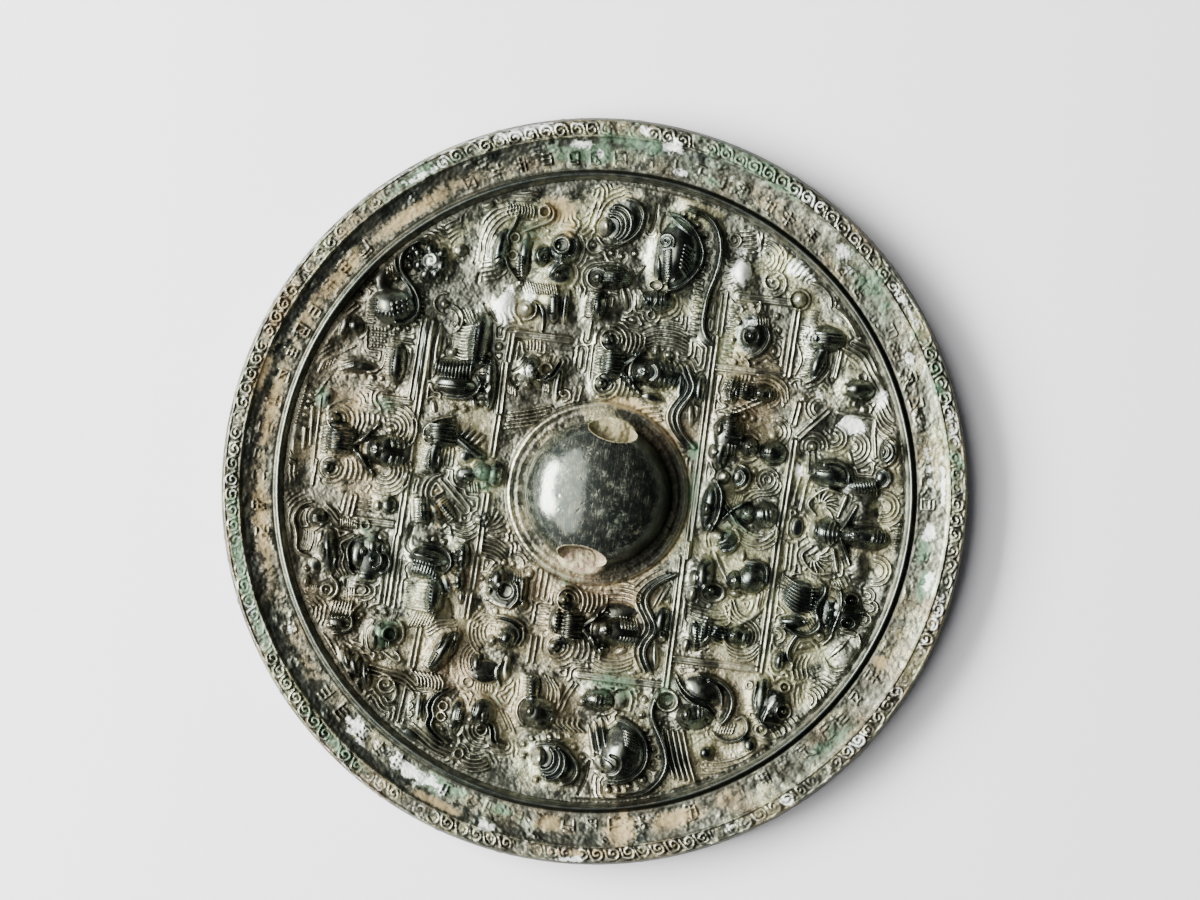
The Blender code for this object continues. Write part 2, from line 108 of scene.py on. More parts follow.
def distance_from(marked, reach):
    """Distance in samples from every place to the nearest marked one, up to about reach, by jump flooding."""
    rows, columns = np.indices(marked.shape, dtype=np.float32)
    near_row = np.where(marked, rows, -9999.0)
    near_column = np.where(marked, columns, -9999.0)
    jump = 2 ** int(math.ceil(math.log2(reach)))
    while jump >= 1:
        best = (rows - near_row) ** 2 + (columns - near_column) ** 2
        for down in (-jump, 0, jump):
            for across in (-jump, 0, jump):
                row = np.roll(near_row, (down, across), (0, 1))
                column = np.roll(near_column, (down, across), (0, 1))
                away = (rows - row) ** 2 + (columns - column) ** 2
                closer = away < best
                near_row, near_column = np.where(closer, row, near_row), np.where(closer, column, near_column)
                best = np.minimum(best, away)
        jump //= 2
    return np.sqrt((rows - near_row) ** 2 + (columns - near_column) ** 2)


def rounded_path(points, per_span=5):
    """A smooth path through points, with a few samples in every span."""
    points = np.asarray(points, float)
    if len(points) < 3:
        return points
    ends = np.vstack([2 * points[0] - points[1], points, 2 * points[-1] - points[-2]])
    path = []
    for a, b, c, d in zip(ends, ends[1:], ends[2:], ends[3:]):
        for t in np.arange(per_span) / per_span:
            path.append(0.5 * (2 * b + (c - a) * t + (2 * a - 5 * b + 4 * c - d) * t**2
                               + (3 * b - a - 3 * c + d) * t**3))
    return np.array([*path, points[-1]])


class Carving:
    """Heights above a ground, in layers: broad swells, rounded bodies, raised lines and hollows."""

    def __init__(self, low, high, step, thickness=1.0, relief=1.0):
        self.low, self.step = low, step
        self.thickness, self.relief = thickness, relief
        across = np.arange(low[0], high[0] + step[0] / 2, step[0])
        along = np.arange(low[1], high[1] + step[1] / 2, step[1])
        self.x, self.y = np.meshgrid(across, along)
        self.swells, self.bodies, self.lines, self.hollows = (np.zeros(self.x.shape) for _ in range(4))

    def window(self, x0, x1, y0, y1):
        """The samples inside a rectangle."""
        rows, columns = self.x.shape

        def index(value, axis, count):
            return int(np.clip(math.floor((value - self.low[axis]) / self.step[axis]), 0, count))

        return (slice(index(y0, 1, rows), index(y1, 1, rows) + 2),
                slice(index(x0, 0, columns), index(x1, 0, columns) + 2))

    def ellipse(self, layer, x, y, width, length, height, turn, crown):
        """Raises a layer to a rounded form over an ellipse."""
        reach = max(width, length) / 2
        at = self.window(x - reach, x + reach, y - reach, y + reach)
        c, s = math.cos(math.radians(turn)), math.sin(math.radians(turn))
        u, v = self.x[at] - x, self.y[at] - y
        away = (2 * (u * c + v * s) / width) ** 2 + (2 * (v * c - u * s) / length) ** 2
        np.maximum(layer[at], height * np.clip(1 - away, 0, None) ** crown, out=layer[at])

    def mass(self, x, y, width, length, height, turn=0.0, crown=0.5):
        """A rounded body. A smaller crown has a flatter top."""
        self.ellipse(self.bodies, x, y, width, length, height, turn, crown)

    def boss(self, x, y, width, length=None, height=0.8, turn=0.0):
        """A small knob that stands on whatever is under it."""
        self.ellipse(self.lines, x, y, width, length or width, height, turn, 0.5)

    def pit(self, x, y, width, length, depth, turn=0.0):
        """A rounded hollow."""
        self.ellipse(self.hollows, x, y, width, length, depth, turn, 0.5)

    def swell(self, x, y, width, length, height):
        """A broad smooth rise of the ground itself."""
        at = self.window(x - width / 2, x + width / 2, y - length / 2, y + length / 2)
        away = (2 * (self.x[at] - x) / width) ** 2 + (2 * (self.y[at] - y) / length) ** 2
        self.swells[at] += height * np.clip(1 - away, 0, None) ** 2

    def sweep(self, layer, path, width, height, taper):
        """Raises a round-backed line along a path, thinning towards both ends by taper."""
        path = np.asarray(path, float)
        if layer is self.lines:
            width, height = width * self.thickness, height * self.relief
        pad = width / 2
        at = self.window(path[:, 0].min() - pad, path[:, 0].max() + pad,
                         path[:, 1].min() - pad, path[:, 1].max() + pad)
        px, py = self.x[at], self.y[at]
        best = np.full(px.shape, 9.0)
        spans = len(path) - 1
        for i in range(spans):
            (ax, ay), (bx, by) = path[i], path[i + 1]
            dx, dy = bx - ax, by - ay
            t = np.clip(((px - ax) * dx + (py - ay) * dy) / (dx * dx + dy * dy + 1e-12), 0, 1)
            thin = 1 - taper * abs(2 * (i + 0.5) / spans - 1) ** 2
            near = ((px - ax - t * dx) ** 2 + (py - ay - t * dy) ** 2) / (pad * thin) ** 2
            np.minimum(best, near, out=best)
        np.maximum(layer[at], height * np.sqrt(np.clip(1 - best, 0, None)), out=layer[at])

    def thread(self, points, width=THREAD, height=RAISE, taper=0.25):
        """A fine raised line through points."""
        self.sweep(self.lines, rounded_path(points), width, height, taper)

    def strand(self, points, width=1.1, height=1.1, taper=0.4):
        """A thick raised cord of bronze through points."""
        self.sweep(self.bodies, rounded_path(points), width, height, taper)

    def cut(self, points, width=0.7, depth=0.6):
        """A groove through points."""
        self.sweep(self.hollows, rounded_path(points), width, depth, 0.3)

    def flow(self, points, count, shift, width=0.42, height=0.55):
        """Parallel raised lines, each set over from the last by shift."""
        for i in range(count):
            self.thread([(x + i * shift[0], y + i * shift[1]) for x, y in points], width, height)

    def arc(self, x, y, radius, start=0.0, end=360.0, width=THREAD, height=RAISE, squash=1.0, turn=0.0,
            layer=None):
        """A raised line along part of an ellipse."""
        steps = max(4, round(abs(end - start) / 360 * 2 * math.pi * radius / 0.45))
        angles = np.radians(np.linspace(start, end, steps + 1))
        u, v = radius * np.cos(angles), radius * squash * np.sin(angles)
        c, s = math.cos(math.radians(turn)), math.sin(math.radians(turn))
        path = np.stack([x + u * c - v * s, y + u * s + v * c], 1)
        self.sweep(self.lines if layer is None else layer, path, width, height, 0.2)

    def arcs(self, x, y, first, last, start=0.0, end=180.0, pitch=PITCH, **more):
        """Nested arcs, from the first radius to the last."""
        for radius in np.arange(first, last + pitch / 3, pitch):
            self.arc(x, y, radius, start, end, **more)

    def spiral(self, x, y, radius, turns=1.6, start=0.0, hand=1, width=0.55, height=0.55):
        """A line that winds inwards to a small eye."""
        share = np.linspace(0, 1, max(8, int(14 * turns)))
        angle = math.radians(start) + hand * 2 * math.pi * turns * share
        reach = radius * (1 - 0.86 * share)
        path = np.stack([x + reach * np.cos(angle), y + reach * np.sin(angle)], 1)
        self.sweep(self.lines, path, width, height, 0.0)

    def strokes(self, start, end, count, length, angle, last_angle=None, bend=0.0, last_length=None,
                width=THREAD, height=RAISE):
        """A row of short lines whose middles lie between start and end."""
        last_angle = angle if last_angle is None else last_angle
        last_length = length if last_length is None else last_length
        for share in (np.arange(count) + 0.5) / count:
            x, y = (a + (b - a) * share for a, b in zip(start, end))
            turn = math.radians(angle + (last_angle - angle) * share)
            half = (length + (last_length - length) * share) / 2
            u, v = math.cos(turn) * half, math.sin(turn) * half
            bow = (x - math.sin(turn) * bend, y + math.cos(turn) * bend)
            self.thread([(x - u, y - v), bow, (x + u, y + v)], width, height, 0.35)

    def fan(self, x, y, inner, outer, start, end, count, curl=0.0, width=THREAD, height=RAISE):
        """Lines that spread from a centre, each bent by curl degrees."""
        for angle in np.linspace(start, end, count):
            places = []
            for share in (0.0, 0.5, 1.0):
                reach = inner + (outer - inner) * share
                turn = math.radians(angle + curl * share)
                places.append((x + reach * math.cos(turn), y + reach * math.sin(turn)))
            self.thread(places, width, height, 0.3)

    def beads(self, start, end, count, size=0.95, height=0.75):
        """A row of small round beads."""
        for share in np.linspace(0, 1, count):
            x, y = (a + (b - a) * share for a, b in zip(start, end))
            self.boss(x, y, size, size, height)

    def bar(self, start, end, width=1.35, height=0.85):
        """A straight border with a raised line along each edge."""
        start, end = np.asarray(start, float), np.asarray(end, float)
        along = (end - start) / np.hypot(*(end - start))
        side = np.array([-along[1], along[0]]) * (width / 2 - 0.24)
        self.sweep(self.bodies, [start, end], width, height * 0.55, 0.0)
        for offset in (side, -side):
            self.sweep(self.bodies, [start + offset, end + offset], 0.5, height, 0.0)

    def eye(self, x, y, radius, height=0.9):
        """A staring ringed eye."""
        self.arc(x, y, radius, width=0.55, height=height * 0.8)
        self.boss(x, y, radius * 0.95, height=height)


# Motifs of the relief. Every place and size is in design units, with +Y towards the top of the design.

def each(form, *places):
    """Makes one kind of form at every place."""
    for place in places:
        form(*place)


def facing(side, middle, points):
    """Points given outwards from a middle line, set on one side of it."""
    return [(middle + side * u, v) for u, v in points]


def calm_face(art, x, y, width):
    """A small plain face: lowered lids, a straight nose and a closed mouth."""
    for side in (-1, 1):
        art.arc(x + side * width * 0.2, y + width * 0.1, width * 0.13, 200, 340, 0.28, 0.18)
    art.thread([(x, y + width * 0.14), (x, y - width * 0.12)], 0.3, 0.24)
    art.thread([(x - width * 0.1, y - width * 0.26), (x + width * 0.1, y - width * 0.26)], 0.28, 0.16)


def socketed(art, places, size=1.0, height=1.0):
    """Round balls, each in its own dark socket."""
    for x, y in places:
        art.pit(x, y + size * 0.25, size * 1.9, size * 1.9, 0.35)
        art.boss(x, y, size, height=height)


def cuff(art, x, y, radius, side):
    """The round end of a sleeve: nested folds outside, a ring below and a bright ball in it."""
    first, last = (80, 200) if side < 0 else (-20, 100)
    art.mass(x, y, radius * 1.9, radius * 1.9, 0.9)
    art.arcs(x, y, radius * 0.6, radius * 1.3, first, last, 0.72, width=0.5, height=0.6)
    art.arc(x, y, radius, 170, 370, 0.5, 0.7)
    art.boss(x, y - radius * 0.35, radius * 0.95, radius * 1.1, 1.2)


def seated_deity(art, x, y, head, body, cuffs, hat=3, ribs=5):
    """A deity facing out: tall hat, crossed collar, striped robe, and ribbed sleeves with round cuffs."""
    width, length = head
    neck = y - length * 0.42
    art.mass(x, y, width, length, 2.1)
    art.mass(x, y - length * 0.3, width * 0.82, length * 0.44, 2.45)
    calm_face(art, x, y - length * 0.3, width * 0.75)
    art.arc(x, y - length * 0.22, width * 0.62, 190, 350, 0.6, 0.6)
    bx, by, robe_width, robe_length = body
    art.mass(bx, by, robe_width, robe_length, 2.0)
    art.strokes((bx - robe_width * 0.36, by), (bx + robe_width * 0.36, by), 7, robe_length * 0.8, 96, 84)
    art.strokes((bx - robe_width * 0.5, by - robe_length * 0.56),
                (bx + robe_width * 0.5, by - robe_length * 0.56), 10, 1.1, 96, 84)
    for side, (cx, cy) in zip((-1, 1), cuffs):
        art.strokes((x + side * width * 0.3, y + length * 0.42), (x + side * width * 0.34, y), hat,
                    width * 0.36, -side * 16, width=0.4)
        collar = [(x + side * width * 0.78, neck + 0.6), (x + side * width * 0.1, neck - 3.0)]
        art.strand(collar, 1.0, 1.7, 0.2)
        art.thread([(px - side * 0.55, py) for px, py in collar], 0.36, 0.3)
        art.swell(cx, (neck + cy) / 2, 5.0, 6.0, 0.7)
        art.strokes((cx - side * 0.3, neck + 0.6), (cx, cy + 2.0), ribs, 3.4, side * 14, side * -6, bend=0.35,
                    width=0.52, height=0.62)
        cuff(art, cx, cy, 2.0, side)


def sitting_figure(art, x, y, head=3.6, robe=5.5, lean=0.0):
    """An attendant: cap, round head, striped robe and a broad knee with bright folds."""
    art.mass(x, y, head * 0.9, head * 1.15, 2.1, lean)
    art.mass(x, y - head * 0.3, head * 0.75, head * 0.6, 2.35, lean)
    calm_face(art, x, y - head * 0.3, head * 0.7)
    art.strokes((x, y + head * 0.15), (x, y + head * 0.5), 2, head * 0.7, lean)
    art.arcs(x, y + head * 0.1, head * 0.56, head * 0.85, 15, 165, 0.62)
    art.mass(x, y - head * 1.1, robe * 0.7, head * 0.9, 1.3, lean)
    art.strokes((x - robe * 0.34, y - head * 1.1), (x + robe * 0.34, y - head * 1.1), 7, head * 0.9,
                104 + lean, 76 + lean)
    art.mass(x, y - head * 1.75, robe, head * 0.72, 2.0, lean)
    art.strokes((x - robe * 0.42, y - head * 2.05), (x + robe * 0.42, y - head * 2.05), 9, 1.0, 90 + lean)


def wave(art, points, count, pitch=0.9, width=1.0, height=1.5):
    """A long wavy ridge with thinner ones under it."""
    art.strand(points, width, height, 0.2)
    for i in range(1, count):
        art.strand([(px, py - i * pitch - 0.1) for px, py in points], 0.62, height * (0.75 - 0.12 * i), 0.3)


def fringe(art, start, end, count, length=1.2, angle=90.0, height=0.6):
    """A row of short hairs."""
    art.strokes(start, end, count, length, angle, width=0.4, height=height)


def dark_dome(art, x, y, width, length, height, turn=0.0, hairs=8):
    """A steep smooth dome with a bright comb of hairs along its foot."""
    art.mass(x, y, width, length, height, turn)
    lean = math.radians(turn)
    away = length * 0.56
    ends = [(x + away * math.sin(lean) + h * width * 0.44 * math.cos(lean),
             y - away * math.cos(lean) + h * width * 0.44 * math.sin(lean)) for h in (-1, 1)]
    fringe(art, *ends, hairs, 1.3, 90 + turn)


def nostrils(art, x, y, gap, turn=0.0):
    """Two ringed nostrils over a parted moustache."""
    for side in (-1, 1):
        art.pit(x + side * gap, y, 1.5, 1.5, 0.4)
        art.arc(x + side * gap, y, 0.8, width=0.46, height=0.8)
        art.strand([(x + side * 0.2, y - 0.9), (x + side * (gap + 0.1), y - 1.3), (x + side * (gap + 2.3),
                                                                                   y - 0.5),
                    (x + side * (gap + 4.3), y + 0.7 + side * turn)], 0.6, 1.8, 0.5)


def ribbed_shell(art, side, outline, places):
    """A coiled shell: an outer ridge, and nested shoulders that step down to a bright ball."""
    art.mass(side * 48.8, -0.8, 8.2, 7.4, 0.9)
    art.strand(outline, 0.7, 1.7, 0.2)
    for i, (x, y, reach) in enumerate(places):
        art.arc(x, y, reach, 90 - side * 105, 90 + side * 62, 0.85, 1.5 + 0.12 * i, 0.85, layer=art.bodies)
    x, y, _ = places[-1]
    art.boss(x - side * 0.1, y - 1.1, 3.3, 2.6, 2.4)


# Registers of the relief, from the top of the design to its foot.

def borders(art):
    """Straight borders between registers and round the framed beasts."""
    for start, end in (
        ((-20.2, 34.5), (-16.3, 34.0)), ((-13.5, 34.6), (4.0, 33.9)), ((4.6, 33.9), (28.6, 33.3)),
        ((-36.8, 32.3), (-24.8, 31.9)),
        ((-30.4, 18.2), (9.7, 17.9)),
        ((9.9, 17.1), (33.4, 16.9)),
        ((28.2, 32.8), (28.2, 17.8)),
        ((-24.9, 31.3), (-24.9, 19.0)),
        ((-38.0, 31.0), (-38.0, 21.4)),
        ((33.1, 16.3), (33.1, 1.0)),
        ((-26.4, -18.2), (-21.4, -18.4)), ((-21.0, -18.8), (-12.0, -18.8)), ((-11.4, -18.9), (-4.0, -19.2)),
        ((2.8, -19.3), (13.6, -19.5)), ((14.4, -19.7), (20.0, -19.9)), ((20.8, -20.1), (25.5, -20.3)),
        ((-26.5, -7.8), (-26.5, -17.6)),
        ((-27.0, -33.0), (-0.6, -33.9)), ((-27.4, -34.2), (-12.4, -34.8)),
        ((1.0, -33.9), (12.0, -34.2)), ((12.2, -34.4), (24.8, -34.8)),
        ((-12.0, -34.9), (-12.0, -40.0)),
        ((10.3, -35.2), (10.3, -42.0)),
        ((-19.7, 40.0), (-14.3, 35.2)), ((-21.0, 29.6), (-17.2, 22.8)),
        ((28.2, -28.4), (35.3, -28.9)), ((6.0, -42.9), (9.6, -43.3)),
    ):
        art.bar(start, end)
    for x0, x1, y, fall in (
        (-11.6, -8.0, 38.4, 0.3), (-11.6, -8.0, 37.4, 0.2), (-7.2, -1.2, 37.9, -0.7),
        (-7.0, -2.0, 36.4, -0.6), (5.2, 9.8, 36.5, 0.0), (5.2, 9.8, 35.7, 0.0), (-30.5, -27.0, -4.3, -0.3),
        (-25.0, -21.8, -5.3, -0.1), (-18.4, -15.4, -4.6, -0.4), (-18.0, -15.6, -5.6, -0.3),
        (15.4, 20.0, -6.6, -0.3), (15.4, 20.0, -7.7, -0.2), (27.2, 32.0, -7.2, -0.1),
        (27.0, 32.0, -8.2, -0.1), (-11.0, 2.6, -51.0, 0.0), (-9.0, -2.0, -52.3, 0.3),
        (0.4, 5.0, -50.4, -0.3), (-5.0, -1.4, -53.2, 0.1), (-38.5, -30.5, 19.4, -0.2),
        (-38.0, -31.0, 18.5, -0.2), (-46.5, -38.0, -25.2, 0.1), (-46.0, -38.6, -26.6, 0.1),
        (38.5, 45.3, -29.5, -0.7), (7.0, 10.0, 18.0, 0.0),
    ):
        art.thread([(x0, y), (x1, y + fall)], 0.5, 0.5)
    for points in (
        [(-52.6, 4.8), (-49.8, 4.7), (-47.6, 4.2)], [(-51.3, 6.6), (-49.0, 6.2), (-47.6, 6.3)],
        [(48.4, 4.9), (51.4, 4.6), (54.4, 3.7)], [(-36.4, -25.5), (-32.0, -25.7), (-28.6, -25.2)],
        [(-46.0, -26.2), (-42.0, -26.4), (-38.2, -26.5)], [(-30.2, -22.8), (-28.4, -21.4)],
        [(29.8, -21.6), (32.8, -22.3), (35.8, -22.0)], [(22.4, -23.8), (23.8, -23.0), (25.6, -22.6)],
        [(-52.6, -5.9), (-50.8, -7.2), (-49.0, -8.6)], [(-17.4, 4.0), (-15.4, 4.4)],
        [(-12.8, 6.8), (-13.6, 2.0), (-13.5, -2.4)], [(-39.8, 9.2), (-39.0, 8.7), (-38.0, 9.0)],
        [(10.4, -31.8), (13.8, -32.4), (15.2, -31.2)], [(-31.0, -23.6), (-29.4, -22.6)],
        [(-26.8, -31.5), (-22.0, -32.0), (-16.6, -32.0)], [(25.6, -10.2), (26.6, -8.8), (26.0, -8.0)],
    ):
        art.cut(points)
    art.thread([(-19.0, 48.7), (-16.0, 48.8), (-12.2, 49.4)], 0.6, 0.6)
    art.thread([(-19.1, 48.7), (-19.4, 41.8)], 0.6, 0.6)


def top_register(art):
    """The deity under the upper arch, with its attendants and beasts."""
    each(art.mass, (2.3, 49.6, 4.2, 8.6, 2.1), (2.2, 46.7, 3.6, 3.8, 2.5), (2.2, 42.4, 5.2, 4.8, 2.1),
         (2.0, 37.0, 3.6, 2.2, 1.2, 0, 0.2))
    calm_face(art, 2.2, 46.9, 3.2)
    art.strokes((1.9, 53.0), (1.9, 50.0), 4, 2.6, 0, bend=0.2)
    art.strokes((0.4, 55.1), (4.0, 55.1), 4, 1.3, 90)
    art.arcs(2.2, 46.6, 2.6, 5.0, 240, 300)
    art.boss(2.0, 39.9, 3.4, 1.3, 1.1)
    for side in (-1, 1):
        art.strand(facing(side, 2.2, [(0.7, 44.7), (2.8, 45.9), (5.3, 47.0)]), 1.0, 1.6)
        art.strand(facing(side, 2.2, [(3.0, 43.9), (5.3, 44.6), (6.8, 45.0)]), 0.9, 1.3)
        art.thread(facing(side, 2.2, [(7.3, 44.0), (7.6, 41.0), (4.8, 38.4), (2.8, 40.0)]), 0.6, 0.8)
        middle = 90 - side * 60
        art.fan(2.2 + side * 4.6, 40.8, 0.7, 3.0, middle - 80, middle + 80, 8, side * 20, 0.5, 0.6)
        art.arcs(2.2 + side * 5.8, 52.0, 1.2, 2.9, -10, 190)
        art.swell(2.2 + side * 5.4, 48.6, 7.0, 5.4, 1.0)
    # The crouching beast at the deity's right hand.
    each(art.mass, (-8.3, 41.9, 5.2, 8.0, 2.2), (-6.9, 48.0, 2.8, 6.6, 1.5, 8), (-8.8, 51.3, 3.6, 3.0, 1.6),
         (-13.6, 51.6, 5.2, 3.2, 1.8))
    art.strand([(-9.9, 40.2), (-10.3, 42.0), (-9.9, 43.8), (-8.8, 44.9), (-7.2, 45.0)], 0.9, 2.2)
    art.thread([(-8.8, 41.3), (-8.7, 39.4)], 0.4, 0.4)
    art.strokes((-7.0, 45.9), (-6.6, 50.4), 8, 2.6, 20, width=0.52, height=0.55)
    art.thread([(-10.5, 50.2), (-9.8, 51.7), (-8.6, 52.4), (-7.4, 51.9), (-6.8, 50.8)], 0.6, 0.8)
    each(art.arcs, (-13.6, 45.2, 0.8, 2.9, 20, 170), (-14.8, 41.6, 0.8, 2.7, 0, 170),
         (-12.8, 38.0, 1.2, 2.7, 90, 300, 0.72), (-19.8, 38.2, 1.0, 2.9, 190, 340),
         (-13.3, 50.3, 1.2, 2.9, 10, 175), (-7.0, 54.4, 0.8, 1.6, 0, 200))
    each(art.boss, (-12.8, 38.0, 1.4, 1.4, 1.0), (-21.2, 35.4, 1.4, 1.4, 1.1), (-13.3, 50.4, 2.0, 0.9, 0.9))
    # Rider and mount at the left.
    art.mass(-23.9, 45.2, 3.7, 5.4, 2.2)
    art.boss(-23.7, 42.4, 2.0, 1.4, 1.4)
    art.arc(-26.3, 45.3, 0.8, 60, 380, 0.5, 0.7)
    art.flow([(-31.0, 41.3), (-29.5, 44.5), (-26.6, 46.5), (-24.0, 48.6)], 5, (-0.55, 0.7))
    art.beads((-21.2, 44.8), (-20.5, 46.4), 2, 1.2)
    art.flow([(-21.6, 49.0), (-19.4, 50.4), (-18.4, 52.2)], 4, (0.75, -0.3))
    dark_dome(art, -32.3, 38.0, 4.6, 7.0, 2.3, 0, 6)
    art.strokes((-33.6, 38.4), (-31.2, 38.4), 4, 5.0, 92)
    art.boss(-32.0, 35.8, 1.8, 1.2, 1.4)
    art.arcs(-32.0, 35.6, 1.2, 2.0, 190, 350, 0.7)
    art.mass(-27.8, 37.2, 6.4, 2.6, 2.0, -14)
    art.strand([(-30.9, 37.4), (-28.0, 38.4), (-25.4, 37.2), (-24.0, 35.2)], 0.7, 1.5)
    fringe(art, (-30.2, 35.8), (-25.0, 34.6), 9)
    art.bar((-30.4, 40.8), (-25.6, 40.3), 1.0, 0.7)
    fringe(art, (-37.2, 35.4), (-34.6, 35.2), 5)
    art.flow([(-42.0, 34.0), (-41.5, 36.0), (-40.0, 37.7), (-38.0, 38.2)], 3, (-0.5, 0.75))
    art.flow([(-38.0, 38.8), (-36.4, 41.2), (-33.6, 43.2)], 4, (-0.6, 0.75))
    # The masked beast at the right, with its mantle.
    each(art.mass, (16.0, 47.8, 8.0, 5.4, 1.3), (16.8, 44.2, 6.6, 2.2, 1.2),
         (14.2, 38.9, 6.6, 6.6, 1.3, -20), (18.8, 38.4, 1.9, 5.7, 2.0, 4), (26.3, 36.7, 3.6, 1.8, 1.9))
    for x, y in ((13.8, 48.2), (17.9, 48.0)):
        art.pit(x, y, 2.2, 2.6, 0.3)
        art.arc(x, y, 1.0, width=0.5, height=0.9, squash=1.3)
        art.boss(x, y, 0.9, 1.2, 0.9)
    art.strand([(15.8, 50.4), (15.9, 47.4)], 0.9, 2.0)
    art.boss(15.6, 46.8, 1.3, 1.1, 1.4)
    art.flow([(19.5, 49.6), (19.3, 47.0)], 2, (0.7, 0.0))
    for x, y in ((12.7, 51.0), (14.8, 51.8), (17.0, 50.8)):
        art.arcs(x, y, 0.6, 1.3, -20, 200, 0.7)
    lip = [(11.8, 44.6), (12.2, 45.8), (13.5, 46.3), (16.0, 46.3), (19.0, 45.6), (21.0, 45.2), (22.4, 44.0)]
    art.strand(lip, 0.7, 1.7)
    art.beads((14.3, 45.0), (18.9, 44.2), 4, 0.9)
    moustache = [(11.2, 42.2), (12.0, 43.2), (13.3, 43.2), (14.8, 42.4), (16.4, 42.0), (17.8, 42.6),
                 (19.0, 43.0), (20.1, 42.4), (21.0, 40.8), (20.9, 39.0), (19.9, 36.8)]
    art.strand(moustache, 0.95, 1.9)
    art.boss(21.0, 43.4, 1.7, height=1.3)
    each(art.strokes, ((11.2, 46.4), (11.8, 44.8), 4, 1.6, 30), ((17.4, 42.0), (19.4, 40.6), 5, 1.8, 40),
         ((21.2, 48.4), (24.0, 45.8), 5, 2.6, -30))
    fringe(art, (12.0, 41.6), (17.0, 41.6), 8, 1.1)
    art.strokes((11.4, 38.3), (17.2, 38.5), 9, 5.6, 72, 68, bend=-0.4, height=0.55)
    art.swell(23.6, 47.0, 7.0, 7.0, 1.3)
    art.strand([(20.0, 50.3), (22.0, 50.8), (24.0, 50.4), (25.8, 49.1), (26.6, 47.3), (26.3, 45.8),
                (25.0, 44.8)], 0.7, 1.2)
    art.spiral(25.4, 43.3, 1.1, 1.1, 60)
    art.flow([(26.2, 48.6), (26.9, 46.8), (26.2, 45.0), (27.0, 43.0)], 5, (0.85, -0.1))
    art.flow([(24.6, 42.2), (26.4, 41.6), (28.6, 42.2)], 4, (0.2, -0.85))
    art.strand([(20.7, 39.8), (21.8, 38.9), (24.0, 38.0), (25.4, 38.2), (26.5, 38.9), (27.5, 38.8)], 0.9, 1.4)
    art.arcs(21.6, 35.6, 0.8, 1.6, 20, 200, 0.75)
    # The beast that crouches at the far right.
    each(art.mass, (35.0, 36.6, 9.0, 5.6, 1.1, -12), (33.0, 34.3, 7.8, 2.5, 2.0, -6),
         (41.8, 33.2, 2.8, 2.2, 1.6))
    for x, y, radius in ((35.2, 38.5, 1.3), (30.8, 38.2, 0.9), (38.9, 35.0, 1.0)):
        art.pit(x, y, radius * 1.7, radius * 1.7, 0.3)
        art.eye(x, y, radius)
    art.arc(38.8, 36.3, 3.0, 0, 360, 0.5, 0.7, 0.5, 90)
    art.strand([(33.5, 36.5), (35.0, 35.8), (37.0, 35.1)], 1.2, 1.9)
    art.strand([(30.5, 33.0), (33.5, 32.9), (35.8, 33.6), (37.5, 34.6)], 0.6, 1.3)
    for x, y in ((31.2, 31.8), (36.5, 33.0)):
        art.arc(x, y, 0.6, width=0.4, height=0.6)
    art.arcs(32.6, 42.6, 0.9, 3.9, 35, 175)
    art.strokes((40.4, 36.8), (36.8, 42.0), 6, 3.0, 25, bend=0.5)


